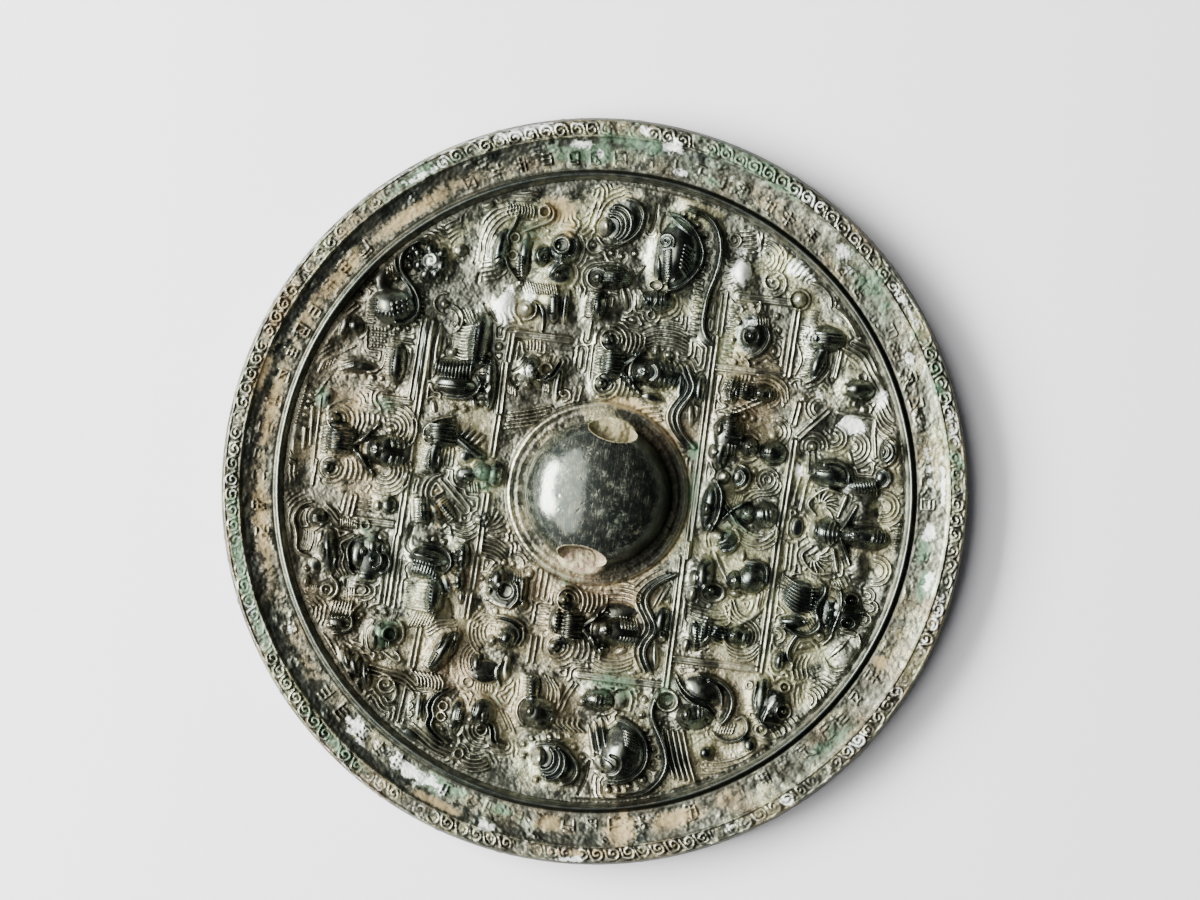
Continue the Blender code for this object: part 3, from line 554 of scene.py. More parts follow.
def second_register(art):
    """The framed beast, the row of sitting figures and the outer spirits."""
    each(art.mass, (-31.6, 24.8, 8.6, 6.6, 1.0), (-31.1, 24.2, 4.4, 3.6, 1.9), (-42.5, 21.8, 4.4, 3.2, 1.6),
         (-35.4, 17.3, 3.0, 1.0, 0.9))
    art.pit(-31.1, 24.4, 2.2, 2.2, 0.3)
    art.eye(-31.1, 24.4, 1.4, 1.0)
    art.strand([(-33.3, 27.0), (-31.5, 27.8), (-29.5, 27.3), (-28.0, 26.1), (-27.2, 24.6)], 0.8, 1.9)
    each(art.strokes, ((-34.0, 27.6), (-34.0, 25.0), 5, 1.5, 10),
         ((-36.0, 20.9), (-26.6, 20.7), 12, 1.3, 90), ((-50.2, 21.4), (-45.8, 22.8), 6, 2.2, 100),
         ((-44.8, 19.2), (-39.8, 19.4), 6, 1.6, 110))
    art.boss(-36.5, 25.5, 2.0, 0.9, 0.8)
    for x, y, size in ((-35.3, 28.7, 1.2), (-32.8, 29.4, 1.2), (-29.0, 28.9, 1.2), (-36.7, 24.2, 0.8),
                       (-33.5, 21.8, 1.6), (-30.1, 21.2, 1.5), (-26.2, 22.2, 0.9)):
        art.boss(x, y, size, size * 0.8, 1.0)
    art.boss(-38.7, 32.4, 2.6, height=2.2)
    art.arc(-38.7, 32.4, 1.8, width=0.5, height=0.8)
    art.thread([(-31.0, 33.0), (-28.0, 34.0), (-25.2, 33.2)], 0.5, 0.6)
    art.thread([(-27.2, 23.6), (-26.5, 24.5), (-25.8, 24.8)], 0.5, 0.7)
    art.spiral(-41.3, 27.4, 2.6, 1.7)
    art.arcs(-45.4, 25.2, 1.0, 4.2, 20, 180)
    art.spiral(-48.1, 19.4, 1.5, 1.3)
    art.strokes((-47.4, 28.2), (-44.4, 32.2), 5, 2.8, 140, bend=0.3)

    sitting_figure(art, -21.2, 28.4, 3.4, 5.2)
    art.flow([(-24.3, 26.6), (-24.6, 29.4), (-23.2, 31.8), (-20.8, 32.6)], 3, (0.72, -0.35))
    art.strokes((-22.8, 25.4), (-22.0, 20.4), 7, 2.6, -12)
    art.strokes((-18.4, 26.6), (-16.6, 21.2), 6, 2.0, 60, 95)
    art.arcs(-14.6, 31.0, 1.2, 3.0, 20, 200)
    art.boss(-14.0, 30.8, 1.3, height=1.0)
    # The hatted figure, with a striped robe.
    each(art.mass, (-10.8, 31.0, 4.6, 5.0, 2.0), (-11.3, 26.8, 3.8, 2.9, 2.4), (-13.2, 22.8, 8.0, 5.4, 1.9),
         (-9.4, 21.8, 5.2, 2.6, 2.0))
    each(art.strokes, ((-11.8, 30.6), (-11.8, 29.2), 3, 2.2, 0), ((-15.8, 23.6), (-12.6, 23.6), 6, 3.2, 92),
         ((-10.2, 24.4), (-10.4, 22.6), 3, 1.8, 0))
    calm_face(art, -11.3, 26.9, 3.0)
    for side in (-1, 1):
        art.thread(facing(side, -11.2, [(1.6, 28.2), (2.4, 27.0), (2.3, 25.7)]), 0.5, 0.8)
    socketed(art, ((-16.5, 26.7), (-16.7, 25.3)), 1.1)
    for x, y in ((-14.0, 20.6), (-9.8, 20.2)):
        art.boss(x, y, 2.4, 1.4, 1.4)
    art.arcs(-5.9, 30.5, 0.7, 2.1, 60, 330, 0.7)
    art.flow([(-7.0, 31.5), (-5.8, 32.0), (-4.5, 31.3), (-4.0, 29.8), (-3.6, 28.0), (-2.3, 26.6)], 3,
             (0.45, 0.6))
    art.boss(-7.1, 28.0, 1.2, height=1.0)
    # The figure in the middle, between curled sleeves.
    each(art.mass, (0.5, 31.0, 4.7, 4.7, 2.2), (0.6, 27.8, 3.4, 2.6, 2.5), (-5.8, 25.9, 4.2, 3.2, 1.8),
         (0.5, 21.0, 9.2, 3.2, 1.9), (6.2, 24.8, 4.6, 3.6, 1.7))
    calm_face(art, 0.6, 27.9, 2.8)
    art.strokes((0.5, 32.4), (0.4, 30.0), 3, 2.6, 12)
    for side in (-1, 1):
        art.strand(facing(side, 0.9, [(2.8, 28.0), (0.9, 25.2), (-1.2, 23.4)]), 0.7, 1.5)
    art.strokes((-2.0, 26.8), (-1.6, 24.6), 5, 1.6, -14)
    art.arcs(-5.6, 25.0, 1.5, 2.5, 10, 170, 0.9, width=0.6, height=0.8)
    each(art.boss, (-5.4, 22.7, 2.2, 2.2, 1.4), (0.7, 20.1, 2.2, 1.4, 1.2), (5.4, 22.7, 2.3, 2.3, 1.4),
         (8.3, 27.8, 2.0, 1.2, 1.2))
    art.strand([(-4.5, 21.5), (-2.5, 22.6), (0.0, 22.8), (2.5, 22.4), (4.3, 21.6)], 0.8, 2.2)
    outer = [(3.0, 33.7), (5.0, 33.4), (6.4, 31.8), (6.8, 30.0), (6.3, 28.0), (5.0, 26.3)]
    art.flow(outer, 3, (-0.62, -0.32))
    art.flow([(3.6, 32.7), (4.6, 31.5), (4.8, 29.8), (4.2, 28.0), (3.0, 26.3), (0.8, 24.6), (-0.7, 23.4)], 2,
             (-0.6, 0.1))
    art.thread([(3.8, 26.0), (5.0, 26.9), (6.6, 26.6), (7.7, 25.4), (8.0, 24.2)], 0.6, 0.8)
    art.thread([(4.1, 25.3), (5.2, 25.0), (6.3, 23.8), (6.8, 22.8)], 0.5, 0.6)
    art.arcs(5.6, 24.6, 2.6, 3.8, 235, 300, 0.6)
    # The hooded figure, seen from its side.
    each(art.mass, (12.2, 30.0, 5.6, 5.0, 2.0), (12.8, 26.9, 3.4, 2.6, 2.3), (15.3, 23.4, 3.2, 4.2, 1.2),
         (12.5, 21.6, 6.8, 3.2, 2.1), (23.5, 20.9, 6.0, 1.7, 1.7, 10))
    art.strand([(9.1, 28.8), (9.2, 31.3), (10.3, 32.4), (12.6, 32.6)], 0.8, 2.0)
    calm_face(art, 12.9, 27.0, 2.6)
    each(art.boss, (15.2, 27.4, 1.0, 2.0, 1.0), (15.0, 22.8, 1.2, 1.2, 1.0), (25.5, 19.6, 2.4, 1.2, 1.3))
    art.swell(15.8, 31.0, 4.6, 3.4, 0.8)
    art.flow([(13.5, 33.2), (16.5, 32.9), (18.5, 31.7), (19.3, 29.9), (18.5, 28.2), (16.5, 27.2)], 4,
             (0.4, -0.5))
    art.strokes((9.4, 23.6), (12.2, 24.8), 6, 3.2, 35)
    art.flow([(16.6, 26.8), (18.2, 26.6), (18.8, 25.0), (18.6, 22.0), (18.2, 19.5)], 5, (0.62, 0.05))
    art.arc(15.5, 23.3, 1.6, width=0.5, height=0.7, squash=1.3)
    for x, y in ((13.2, 19.6), (16.2, 19.6)):
        art.boss(x, y, 2.6, 1.5, 1.4)
    sitting_figure(art, 22.6, 29.0, 3.6, 5.6, -6)
    art.flow([(25.0, 32.9), (26.7, 31.5), (27.0, 29.5), (26.3, 27.5), (24.5, 26.3)], 4, (-0.6, -0.12))
    art.strokes((21.8, 25.2), (25.4, 22.4), 7, 2.2, 125, bend=0.3)

    # The outer spirits at the right.
    curl = [(37.6, 30.3), (37.1, 31.3), (38.0, 32.2), (39.5, 32.4), (41.0, 31.3), (41.7, 29.5), (41.5, 27.8),
            (40.5, 26.3)]
    art.strand(curl, 0.8, 1.5)
    art.strokes((39.4, 30.2), (40.0, 26.6), 7, 1.9, -14)
    art.flow([(42.6, 34.0), (44.4, 31.6), (45.6, 28.4), (46.0, 25.4)], 5, (0.95, 0.05))
    art.strand([(30.4, 22.6), (30.7, 25.0), (31.8, 27.5), (33.5, 28.9), (35.5, 29.2), (37.5, 28.6),
                (38.8, 27.6)], 1.1, 1.8)
    art.strand([(31.3, 24.5), (32.0, 26.0), (33.5, 27.0), (35.5, 27.3)], 0.8, 1.4)
    each(art.mass, (33.0, 23.5, 3.6, 7.6, 1.4, -25), (37.9, 22.8, 4.7, 6.7, 2.2, 12),
         (44.3, 25.8, 2.7, 2.7, 1.8))
    for shift in (0.0, 1.0):
        art.strand([(30.8 + shift, 18.4), (32.8 + shift, 19.7), (34.2 + shift, 21.4), (34.8 + shift, 23.3),
                    (35.6 + shift, 24.9), (36.8 + shift, 26.3)], 0.65, 1.5)
    art.boss(37.5, 20.9, 3.0, 1.9, 1.6)
    art.strokes((37.2, 24.4), (37.0, 23.0), 2, 2.2, 6)
    for i in range(5):
        art.strand([(41.0, 21.0 - 0.95 * i), (44.0, 22.0 - 0.95 * i), (46.6, 22.9 - 0.95 * i),
                    (49.6, 24.2 - 0.95 * i)], 0.62, 1.2)


def middle_register(art):
    """Both sides of the knob: enthroned deities under canopies, dragons, heads and shells."""
    wave(art, [(-24.4, 13.7), (-22.6, 14.6), (-21.0, 15.3), (-19.3, 15.0), (-17.8, 14.1), (-16.2, 13.3),
               (-14.6, 13.2), (-12.8, 14.0), (-11.2, 15.4), (-10.0, 16.8)], 3)
    wave(art, [(13.0, 16.4), (14.3, 14.3), (15.8, 12.6), (17.5, 11.6), (19.2, 11.7), (21.0, 12.8),
               (22.7, 13.7), (24.3, 13.6), (26.0, 12.6), (27.7, 12.3), (29.5, 12.9), (31.2, 14.0)], 3)
    each(art.mass, (-20.7, 16.6, 5.4, 1.9, 1.7), (-15.6, 15.4, 4.6, 1.2, 1.2, 8, 0.8),
         (-21.0, 12.9, 5.4, 1.5, 1.2, -4, 0.8), (21.8, 15.0, 6.0, 2.6, 1.9),
         (28.2, 14.4, 5.4, 1.4, 1.2, 8, 0.8), (-17.9, 8.4, 1.7, 4.6, 1.0, -8), (20.6, 7.0, 3.0, 6.6, 1.1),
         (28.0, 5.1, 1.8, 1.8, 1.4), (23.9, -4.3, 5.0, 1.9, 1.9))
    socketed(art, ((24.8, 15.2),), 1.4, 1.4)
    for i in range(2):
        art.mass(17.0 + 0.5 * i, 14.6 - 0.9 * i, 5.0, 0.8, 1.1, -24, 0.8)
    seated_deity(art, -22.4, 8.6, (5.2, 8.4), (-23.2, 0.5, 5.8, 4.8), ((-27.4, -0.3), (-19.4, -0.6)), 4)
    seated_deity(art, 24.5, 7.4, (5.4, 8.0), (24.6, -1.0, 6.8, 4.4), ((19.9, -2.4), (28.5, -3.2)), 6, 6)
    art.arc(-22.4, 6.9, 1.7, 25, 155, 0.6, 0.9)
    art.flow([(-26.9, 13.2), (-27.6, 11.0), (-27.6, 8.0), (-26.6, 5.4)], 5, (-0.68, 0.0))
    each(art.boss, (-26.0, 10.3, 1.3, 1.8, 1.1), (-26.6, 7.9, 1.6, 1.2, 0.6),
         (28.0, 8.2, 1.0, 2.2, 0.8, 30))
    art.flow([(-16.6, 9.6), (-16.2, 7.4), (-15.4, 5.0)], 4, (0.8, 0.3))
    art.flow([(28.6, 10.4), (29.6, 8.4), (29.8, 5.8), (29.0, 3.4)], 4, (0.68, 0.0))
    art.flow([(18.8, 10.4), (18.3, 7.4), (18.8, 4.2)], 3, (-0.75, 0.0))
    art.strokes((21.4, -6.4), (26.4, -6.6), 5, 1.6, 90)

    # The dragons' long bodies, with beads between them and the mounds that they guard.
    art.strand([(-52.6, 10.6), (-51.8, 13.6), (-50.2, 15.7), (-47.5, 17.0), (-44.5, 17.3), (-41.0, 16.8),
                (-38.0, 16.0), (-35.0, 15.6), (-32.0, 15.6), (-30.0, 16.4), (-29.0, 17.5)], 1.0, 2.0, 0.2)
    art.strand([(34.4, 15.7), (36.5, 15.1), (38.5, 15.0), (40.5, 15.9), (42.5, 17.1), (44.8, 18.2),
                (47.0, 18.7), (49.2, 18.3), (51.3, 17.0), (53.0, 15.0), (53.8, 12.5), (54.0, 10.4)], 1.0,
               2.0, 0.2)
    fringe(art, (-42.6, 14.2), (-29.6, 14.0), 13, 1.2, 84, 0.7)
    socketed(art, ((-51.2, 11.9), (-49.8, 12.6), (-48.1, 14.3), (-45.2, 15.2), (-42.6, 14.9), (-51.4, 9.9),
                   (43.2, 15.2), (44.8, 16.0), (47.4, 16.3), (41.6, 14.4), (52.7, 10.5), (51.8, 12.6)), 0.9,
             0.9)
    socketed(art, ((36.1, 13.4), (38.9, 13.2), (52.9, 8.8), (50.4, 14.9)), 1.4, 1.2)
    each(art.mass, (-44.4, 9.7, 12.4, 8.0, 2.1), (46.0, 10.8, 11.2, 8.4, 2.2),
         (-41.4, 6.4, 5.8, 1.3, 2.0, 4, 0.8), (36.7, 9.4, 3.0, 2.6, 0.7))
    art.strand([(-51.2, 7.0), (-50.9, 9.0), (-49.8, 10.9), (-48.0, 12.7), (-45.7, 13.9), (-43.5, 14.1),
                (-41.3, 13.3), (-39.3, 11.8), (-38.0, 10.2), (-37.4, 8.8)], 0.65, 2.6, 0.1)
    art.strand([(39.9, 9.4), (40.5, 11.1), (41.8, 13.1), (43.6, 14.5), (46.0, 15.1), (48.3, 14.7),
                (50.2, 13.1), (51.3, 10.8), (51.8, 8.2)], 0.65, 2.7, 0.1)
    each(art.strokes, ((-50.3, 8.0), (-48.6, 10.6), 5, 3.0, 48),
         ((-45.6, 11.6), (-40.6, 11.0), 7, 2.0, 62, 40), ((41.8, 11.4), (45.0, 12.2), 6, 2.2, 75, 60),
         ((46.6, 6.8), (48.2, 5.6), 3, 2.2, 60))
    art.strokes((-44.6, 7.7), (-38.6, 8.2), 13, 1.2, 112, width=0.36)
    art.spiral(-46.1, 7.2, 1.5, 2.0, 60, 1, 0.5, 0.7)
    art.arc(-38.2, 6.3, 0.9, width=0.4, height=0.6, squash=1.3)
    art.cut([(46.6, 8.6), (47.0, 9.9), (48.4, 10.2), (49.6, 9.4), (49.9, 7.6)], 0.7, 0.8)
    art.boss(48.6, 7.6, 2.4, 4.2, 1.2, -20)
    for i in range(3):
        art.mass(43.4 + 0.7 * i, 6.9 - 1.0 * i, 6.4, 0.9, 1.9 - 0.4 * i, 16, 0.8)
    art.thread([(35.0, 10.6), (36.2, 11.2), (38.4, 11.0)], 0.5, 0.5)
    art.pit(35.8, 17.5, 2.4, 2.2, 0.7)
    art.arc(35.8, 17.5, 1.8, width=0.7, height=1.3)

    each(art.mass, (-35.3, 6.9, 3.8, 6.4, 2.0), (-35.2, 1.1, 4.0, 1.0, 1.3, 20, 0.8),
         (-38.6, -1.8, 4.2, 7.8, 2.2), (37.2, 5.2, 3.8, 5.8, 2.1), (36.8, -1.9, 3.6, 1.3, 1.1, -10, 0.8),
         (40.7, -5.2, 5.8, 6.6, 2.5, -10))
    each(art.strokes, ((-35.6, 8.5), (-35.4, 7.4), 2, 2.8, 4), ((-40.6, 3.6), (-39.8, 0.8), 6, 2.2, -34),
         ((-39.6, -0.6), (-37.6, -0.6), 5, 5.0, 92), ((-34.2, -0.8), (-34.2, -2.2), 4, 1.8, 0),
         ((37.3, 6.8), (37.3, 4.4), 3, 2.4, -6))
    art.arc(-35.8, 6.3, 1.3, width=0.4, height=0.5, squash=0.45)
    each(art.boss, (-34.6, 5.0, 1.6, 1.0, 1.3, 20), (-38.1, -4.3, 2.4, 2.2, 1.4),
         (37.8, 2.2, 1.6, 1.6, 1.3), (40.2, -7.0, 2.2, 1.7, 1.6))
    art.thread([(-37.0, 3.6), (-35.6, 4.5), (-33.8, 4.0)], 0.6, 0.7)
    art.arc(-32.8, 6.2, 0.7, width=0.4, height=0.6)
    art.arc(-38.2, -4.2, 1.9, 150, 390, 0.5, 0.8)
    dark_dome(art, -33.2, -3.2, 5.4, 2.9, 2.2, -4, 11)
    for i in range(6):
        art.thread([(41.2, 2.2 - 0.95 * i), (42.2, 2.0 - 0.9 * i), (43.3, 3.4 - 0.85 * i)], 0.5, 0.6)
    art.flow([(34.6, 0.3), (37.0, -1.0), (39.8, -1.9)], 2, (0.2, 0.8))
    art.arc(40.6, -6.2, 3.0, 190, 330, 0.6, 0.9)
    dark_dome(art, 36.4, -6.6, 5.2, 2.4, 2.0, 0, 9)
    art.flow([(33.8, -5.6), (35.8, -4.2), (38.0, -4.0)], 4, (0.25, 0.75))
    ribbed_shell(art, -1, [(-53.0, -0.8), (-52.6, 0.9), (-51.6, 2.2), (-50.0, 2.7), (-47.5, 2.2),
                           (-45.6, 0.6), (-44.3, -1.6), (-44.2, -3.8), (-45.5, -5.2)], ((-48.2, -2.0, 3.2),
                                                                                        (-47.8, -2.5, 2.7),
                                                                                        (-47.5, -2.8, 2.1)))
    ribbed_shell(art, 1, [(46.3, -4.8), (45.8, -2.6), (46.3, -0.6), (47.4, 1.2), (49.0, 2.6), (50.6, 3.0),
                          (52.1, 2.3), (53.0, 0.6)], ((49.4, -1.9, 3.0), (49.0, -2.5, 2.6),
                                                      (48.6, -3.1, 2.0)))
    socketed(art, ((45.6, -5.8), (46.8, -7.2), (48.7, -7.0), (52.8, -4.2), (44.8, -2.6), (44.6, -0.8),
                   (47.8, 3.7), (46.1, 2.0), (-42.6, -0.4), (-42.9, -2.2), (-43.4, 2.0), (-44.0, -5.6)),
             0.9, 0.8)
    art.strokes((-53.0, -6.4), (-47.0, -7.6), 4, 3.4, -24, bend=0.4)


def beast_register(art):
    """The register under the knob: masks of beasts, framed and free."""
    # The great mask at the left.
    each(art.mass, (-42.8, -10.6, 6.0, 5.4, 1.6), (-38.2, -11.0, 4.4, 5.0, 1.1),
         (-40.9, -14.6, 4.0, 2.6, 2.0), (-40.4, -17.7, 8.6, 1.9, 1.6, 2), (-41.0, -22.0, 8.4, 2.7, 2.1, -4))
    art.pit(-43.2, -11.3, 2.3, 2.3, 0.5)
    art.arc(-43.2, -11.3, 1.4, width=0.62, height=1.2)
    each(art.boss, (-43.0, -11.8, 1.2, 0.8, 0.8), (-37.8, -11.2, 1.0, 1.0, 0.8),
         (-49.0, -25.4, 1.8, 2.2, 1.3))
    art.strand([(-45.2, -10.0), (-44.4, -8.9), (-43.3, -8.5), (-42.1, -8.8), (-41.4, -9.6)], 0.8, 2.3)
    art.strokes((-40.7, -10.1), (-40.7, -11.2), 3, 1.4, 0)
    art.strand([(-39.9, -10.6), (-39.0, -11.6), (-38.0, -12.4)], 1.2, 2.0)
    art.thread([(-42.6, -14.0), (-41.8, -15.2), (-40.8, -15.5), (-39.8, -14.7)], 0.8, 0.9)
    socketed(art, ((-40.7, -13.7), (-45.6, -14.0)), 1.0, 0.9)
    art.cut([(-43.2, -16.4), (-41.0, -16.7), (-38.6, -16.5), (-36.8, -16.9)], 0.5, 0.5)
    fringe(art, (-40.4, -18.7), (-36.6, -18.0), 8, 1.2, 100)
    nostrils(art, -42.0, -19.8, 1.6, 0.6)
    art.flow([(-37.4, -20.6), (-36.0, -22.0), (-35.4, -24.2)], 5, (-0.75, -0.35))
    art.strokes((-35.1, -11.0), (-35.0, -17.4), 14, 1.8, 18, 24, width=0.4, height=0.7)
    socketed(art, ((-35.6, -17.9),), 1.5, 1.2)
    art.strokes((-48.7, -16.9), (-48.4, -22.2), 10, 2.0, 8, -8, bend=0.2, height=0.6)
    art.arc(-48.9, -15.1, 1.0, width=0.5, height=0.8)
    art.strand([(-50.2, -15.2), (-49.8, -14.0), (-48.7, -13.4), (-47.4, -13.9), (-46.2, -16.0),
                (-45.0, -18.2)], 0.6, 1.2)
    art.flow([(-48.0, -19.0), (-46.7, -21.8), (-44.4, -23.6), (-41.5, -24.3), (-39.6, -24.2)], 4,
             (-0.45, -0.75), 0.5, 0.7)
    art.strokes((-48.6, -23.4), (-47.6, -25.4), 3, 2.4, 100)
    # The panel between it and the frame.
    art.mass(-32.4, -9.2, 6.4, 1.4, 1.5)
    art.mass(-32.0, -11.3, 6.0, 2.2, 1.2, 4, 0.3)
    fringe(art, (-33.8, -11.6), (-30.8, -11.2), 9, 1.3)
    art.strand([(-32.7, -15.2), (-32.0, -13.9), (-30.6, -13.2), (-29.0, -13.0), (-27.6, -13.0)], 0.8, 1.5)
    art.boss(-31.1, -16.4, 2.7, height=2.2)
    art.arc(-31.1, -16.3, 1.9, 0, 150, 0.5, 1.1)
    art.swell(-31.6, -20.4, 7.0, 5.0, 0.8)
    # The framed mask.
    art.swell(-20.4, -13.0, 9.0, 8.0, 0.9)
    each(art.mass, (-18.4, -8.8, 6.4, 1.6, 1.5, -4), (-20.6, -13.9, 4.6, 2.7, 1.7, 0, 0.3),
         (-0.9, -18.0, 4.4, 2.6, 2.0), (7.5, -18.9, 3.0, 1.8, 1.7))
    for shift in (0.0, 0.85):
        art.strand([(-22.6, -9.2 + shift), (-21.0, -9.9 + shift), (-19.9, -10.6 + shift),
                    (-19.0, -11.6 + shift), (-18.6, -12.4 + shift)], 0.62, 1.7)
    art.pit(-20.8, -11.4, 1.4, 1.2, 0.4)
    art.arc(-20.8, -11.4, 1.1, width=0.5, height=0.8)
    art.boss(-20.6, -12.4, 1.3, 0.7, 0.9)
    each(art.strokes, ((-22.6, -10.8), (-22.4, -12.0), 3, 1.2, -12),
         ((-17.4, -10.3), (-17.4, -11.5), 3, 1.4, 4), ((-16.0, -16.2), (-16.4, -17.9), 4, 1.6, 6),
         ((-24.8, -12.6), (-24.7, -15.6), 5, 1.5, 4))
    art.boss(-17.4, -14.3, 1.2, 1.6, 1.3)
    for points in ([(-22.4, -15.0), (-20.9, -15.8), (-19.7, -17.2)], [(-16.6, -16.0), (-18.2, -17.5)],
                   [(-19.3, -16.2), (-18.5, -16.5), (-17.7, -16.2)]):
        art.cut(points, 0.5, 0.5)
    art.spiral(-16.7, -7.6, 1.3, 1.2)
    art.flow([(-14.4, -9.6), (-13.2, -13.0), (-12.2, -16.8)], 5, (0.72, -0.15))
    art.fan(9.0, -19.6, 1.2, 4.4, 50, 130, 6, 25)
    art.flow([(10.4, -18.6), (10.8, -16.4), (12.0, -14.4)], 5, (0.72, -0.05))
    socketed(art, ((7.6, -20.2),), 1.6, 1.4)
    # The mask under the knob's right side.
    each(art.mass, (19.2, -10.6, 6.4, 1.6, 1.6), (19.2, -13.8, 7.6, 7.0, 1.0), (17.7, -15.3, 4.8, 2.8, 2.2))
    art.strand([(17.9, -12.4), (18.8, -11.7), (20.5, -11.4), (21.6, -11.8), (22.6, -12.6)], 0.75, 1.9)
    art.pit(19.7, -13.6, 2.2, 2.0, 0.4)
    art.arc(19.7, -13.7, 1.5, width=0.62, height=1.0)
    art.boss(19.5, -14.5, 1.3, 0.9, 1.0)
    for x, y, size in (
        (16.1, -9.8, 1.6), (21.8, -10.1, 1.7), (18.0, -17.0, 1.7), (20.0, -16.7, 1.4), (18.0, -18.3, 1.0),
    ):
        art.boss(x, y, size, size * 0.8, 1.2)
    art.thread([(22.6, -12.8), (22.4, -15.0), (21.6, -17.2)], 0.45, 0.6)
    socketed(art, ((14.7, -14.6), (23.5, -15.0), (23.2, -17.8), (14.8, -12.9)), 1.0, 0.9)
    art.strokes((16.8, -10.8), (17.0, -12.6), 4, 1.7, 6)
    # The mask beyond it.
    art.swell(27.8, -13.8, 7.0, 8.0, 0.7)
    for shift in (0.0, 0.8):
        art.strand([(25.0 - shift, -15.2), (25.2 - shift, -12.6), (26.2 - shift, -10.9 + shift),
                    (27.6, -10.4 + shift), (29.2, -11.0 + shift)], 0.6, 1.5)
    each(art.mass, (28.0, -12.3, 3.8, 3.0, 2.1), (34.6, -15.7, 4.4, 5.4, 1.1, 0, 0.2),
         (33.0, -17.3, 3.6, 1.9, 1.8), (33.6, -11.9, 4.6, 1.5, 1.0))
    art.beads((26.9, -13.8), (28.0, -14.0), 2, 0.8, 0.7)
    art.boss(28.9, -15.2, 2.0, 1.5, 1.5)
    art.arcs(27.4, -14.6, 2.2, 5.0, 215, 322, 0.7)
    art.flow([(25.6, -14.6), (25.8, -16.8), (27.2, -18.6)], 3, (-0.6, -0.35))
    art.strokes((35.2, -15.2), (36.8, -15.2), 5, 3.6, 94, 84, height=0.5)
    art.strokes((37.4, -13.8), (37.4, -17.4), 7, 1.3, 4, height=0.6)
    art.strand([(32.2, -12.9), (34.4, -13.6), (36.8, -12.8)], 0.7, 1.4)
    art.arc(36.8, -18.6, 0.9, width=0.5, height=0.8)
    art.arcs(32.9, -16.4, 2.3, 4.2, 225, 315, 0.62)
    # The great mask at the right.
    each(art.mass, (41.8, -15.0, 5.4, 4.6, 1.6), (43.0, -19.7, 6.6, 2.2, 1.7, -4),
         (42.2, -26.8, 5.0, 1.5, 1.2), (47.7, -28.2, 2.8, 3.8, 1.8, -30))
    for shift in (0.0, 0.9):
        art.strand([(43.4, -15.1 + shift), (43.9, -14.0 + shift), (45.0, -13.4 + shift),
                    (46.3, -13.2 + shift), (47.2, -12.5 + shift), (47.4, -11.5 + shift)], 0.6, 1.8)
    art.pit(45.0, -15.0, 1.5, 1.5, 0.4)
    art.arc(45.0, -15.0, 1.0, width=0.5, height=1.1)
    art.boss(45.1, -15.4, 0.9, height=1.0)
    art.arcs(45.0, -15.0, 1.7, 2.5, 250, 380, 0.75, height=0.6)
    art.strokes((42.7, -13.7), (42.6, -15.2), 3, 1.4, 4)
    art.boss(43.4, -17.3, 2.0, 1.3, 1.5)
    art.cut([(39.6, -16.7), (41.0, -16.4), (42.4, -16.7)], 0.5, 0.4)
    fringe(art, (41.4, -18.9), (43.8, -19.1), 7, 0.9)
    art.flow([(41.0, -12.6), (42.6, -11.6), (44.4, -10.6)], 3, (0.3, 0.8))
    art.strokes((44.6, -21.2), (47.6, -20.0), 10, 1.2, 60, width=0.36)
    for x, y in ((41.6, -22.4), (43.5, -22.5)):
        art.pit(x, y, 1.3, 1.3, 0.4)
        art.arc(x, y, 0.8, width=0.5, height=0.8)
    for drop in (0.0, 1.0):
        art.strand([(38.2, -20.9 - drop), (39.3, -22.6 - drop), (40.6, -23.8 - drop), (42.2, -24.2 - drop),
                    (43.6, -23.8 - drop), (45.2, -24.1 - drop), (46.8, -22.8 - drop), (48.2, -20.8 - drop)],
                   0.7, 1.6)
    art.cut([(40.2, -25.7), (42.2, -25.9), (44.6, -25.6)], 0.7, 0.6)
    for x in (40.7, 42.3, 43.8):
        art.arc(x, -28.3, 0.5, 0, 180, 0.4, 0.5)
    art.arcs(47.4, -15.8, 3.2, 5.6, -32, 36, 0.7, height=0.6)
    art.pit(49.8, -18.6, 1.3, 1.3, 0.4)
    art.arc(49.8, -18.6, 0.85, width=0.5, height=1.0)
    art.flow([(49.6, -20.0), (48.8, -22.4), (47.2, -24.8), (45.4, -27.4)], 4, (0.55, -0.55), 0.5, 0.6)


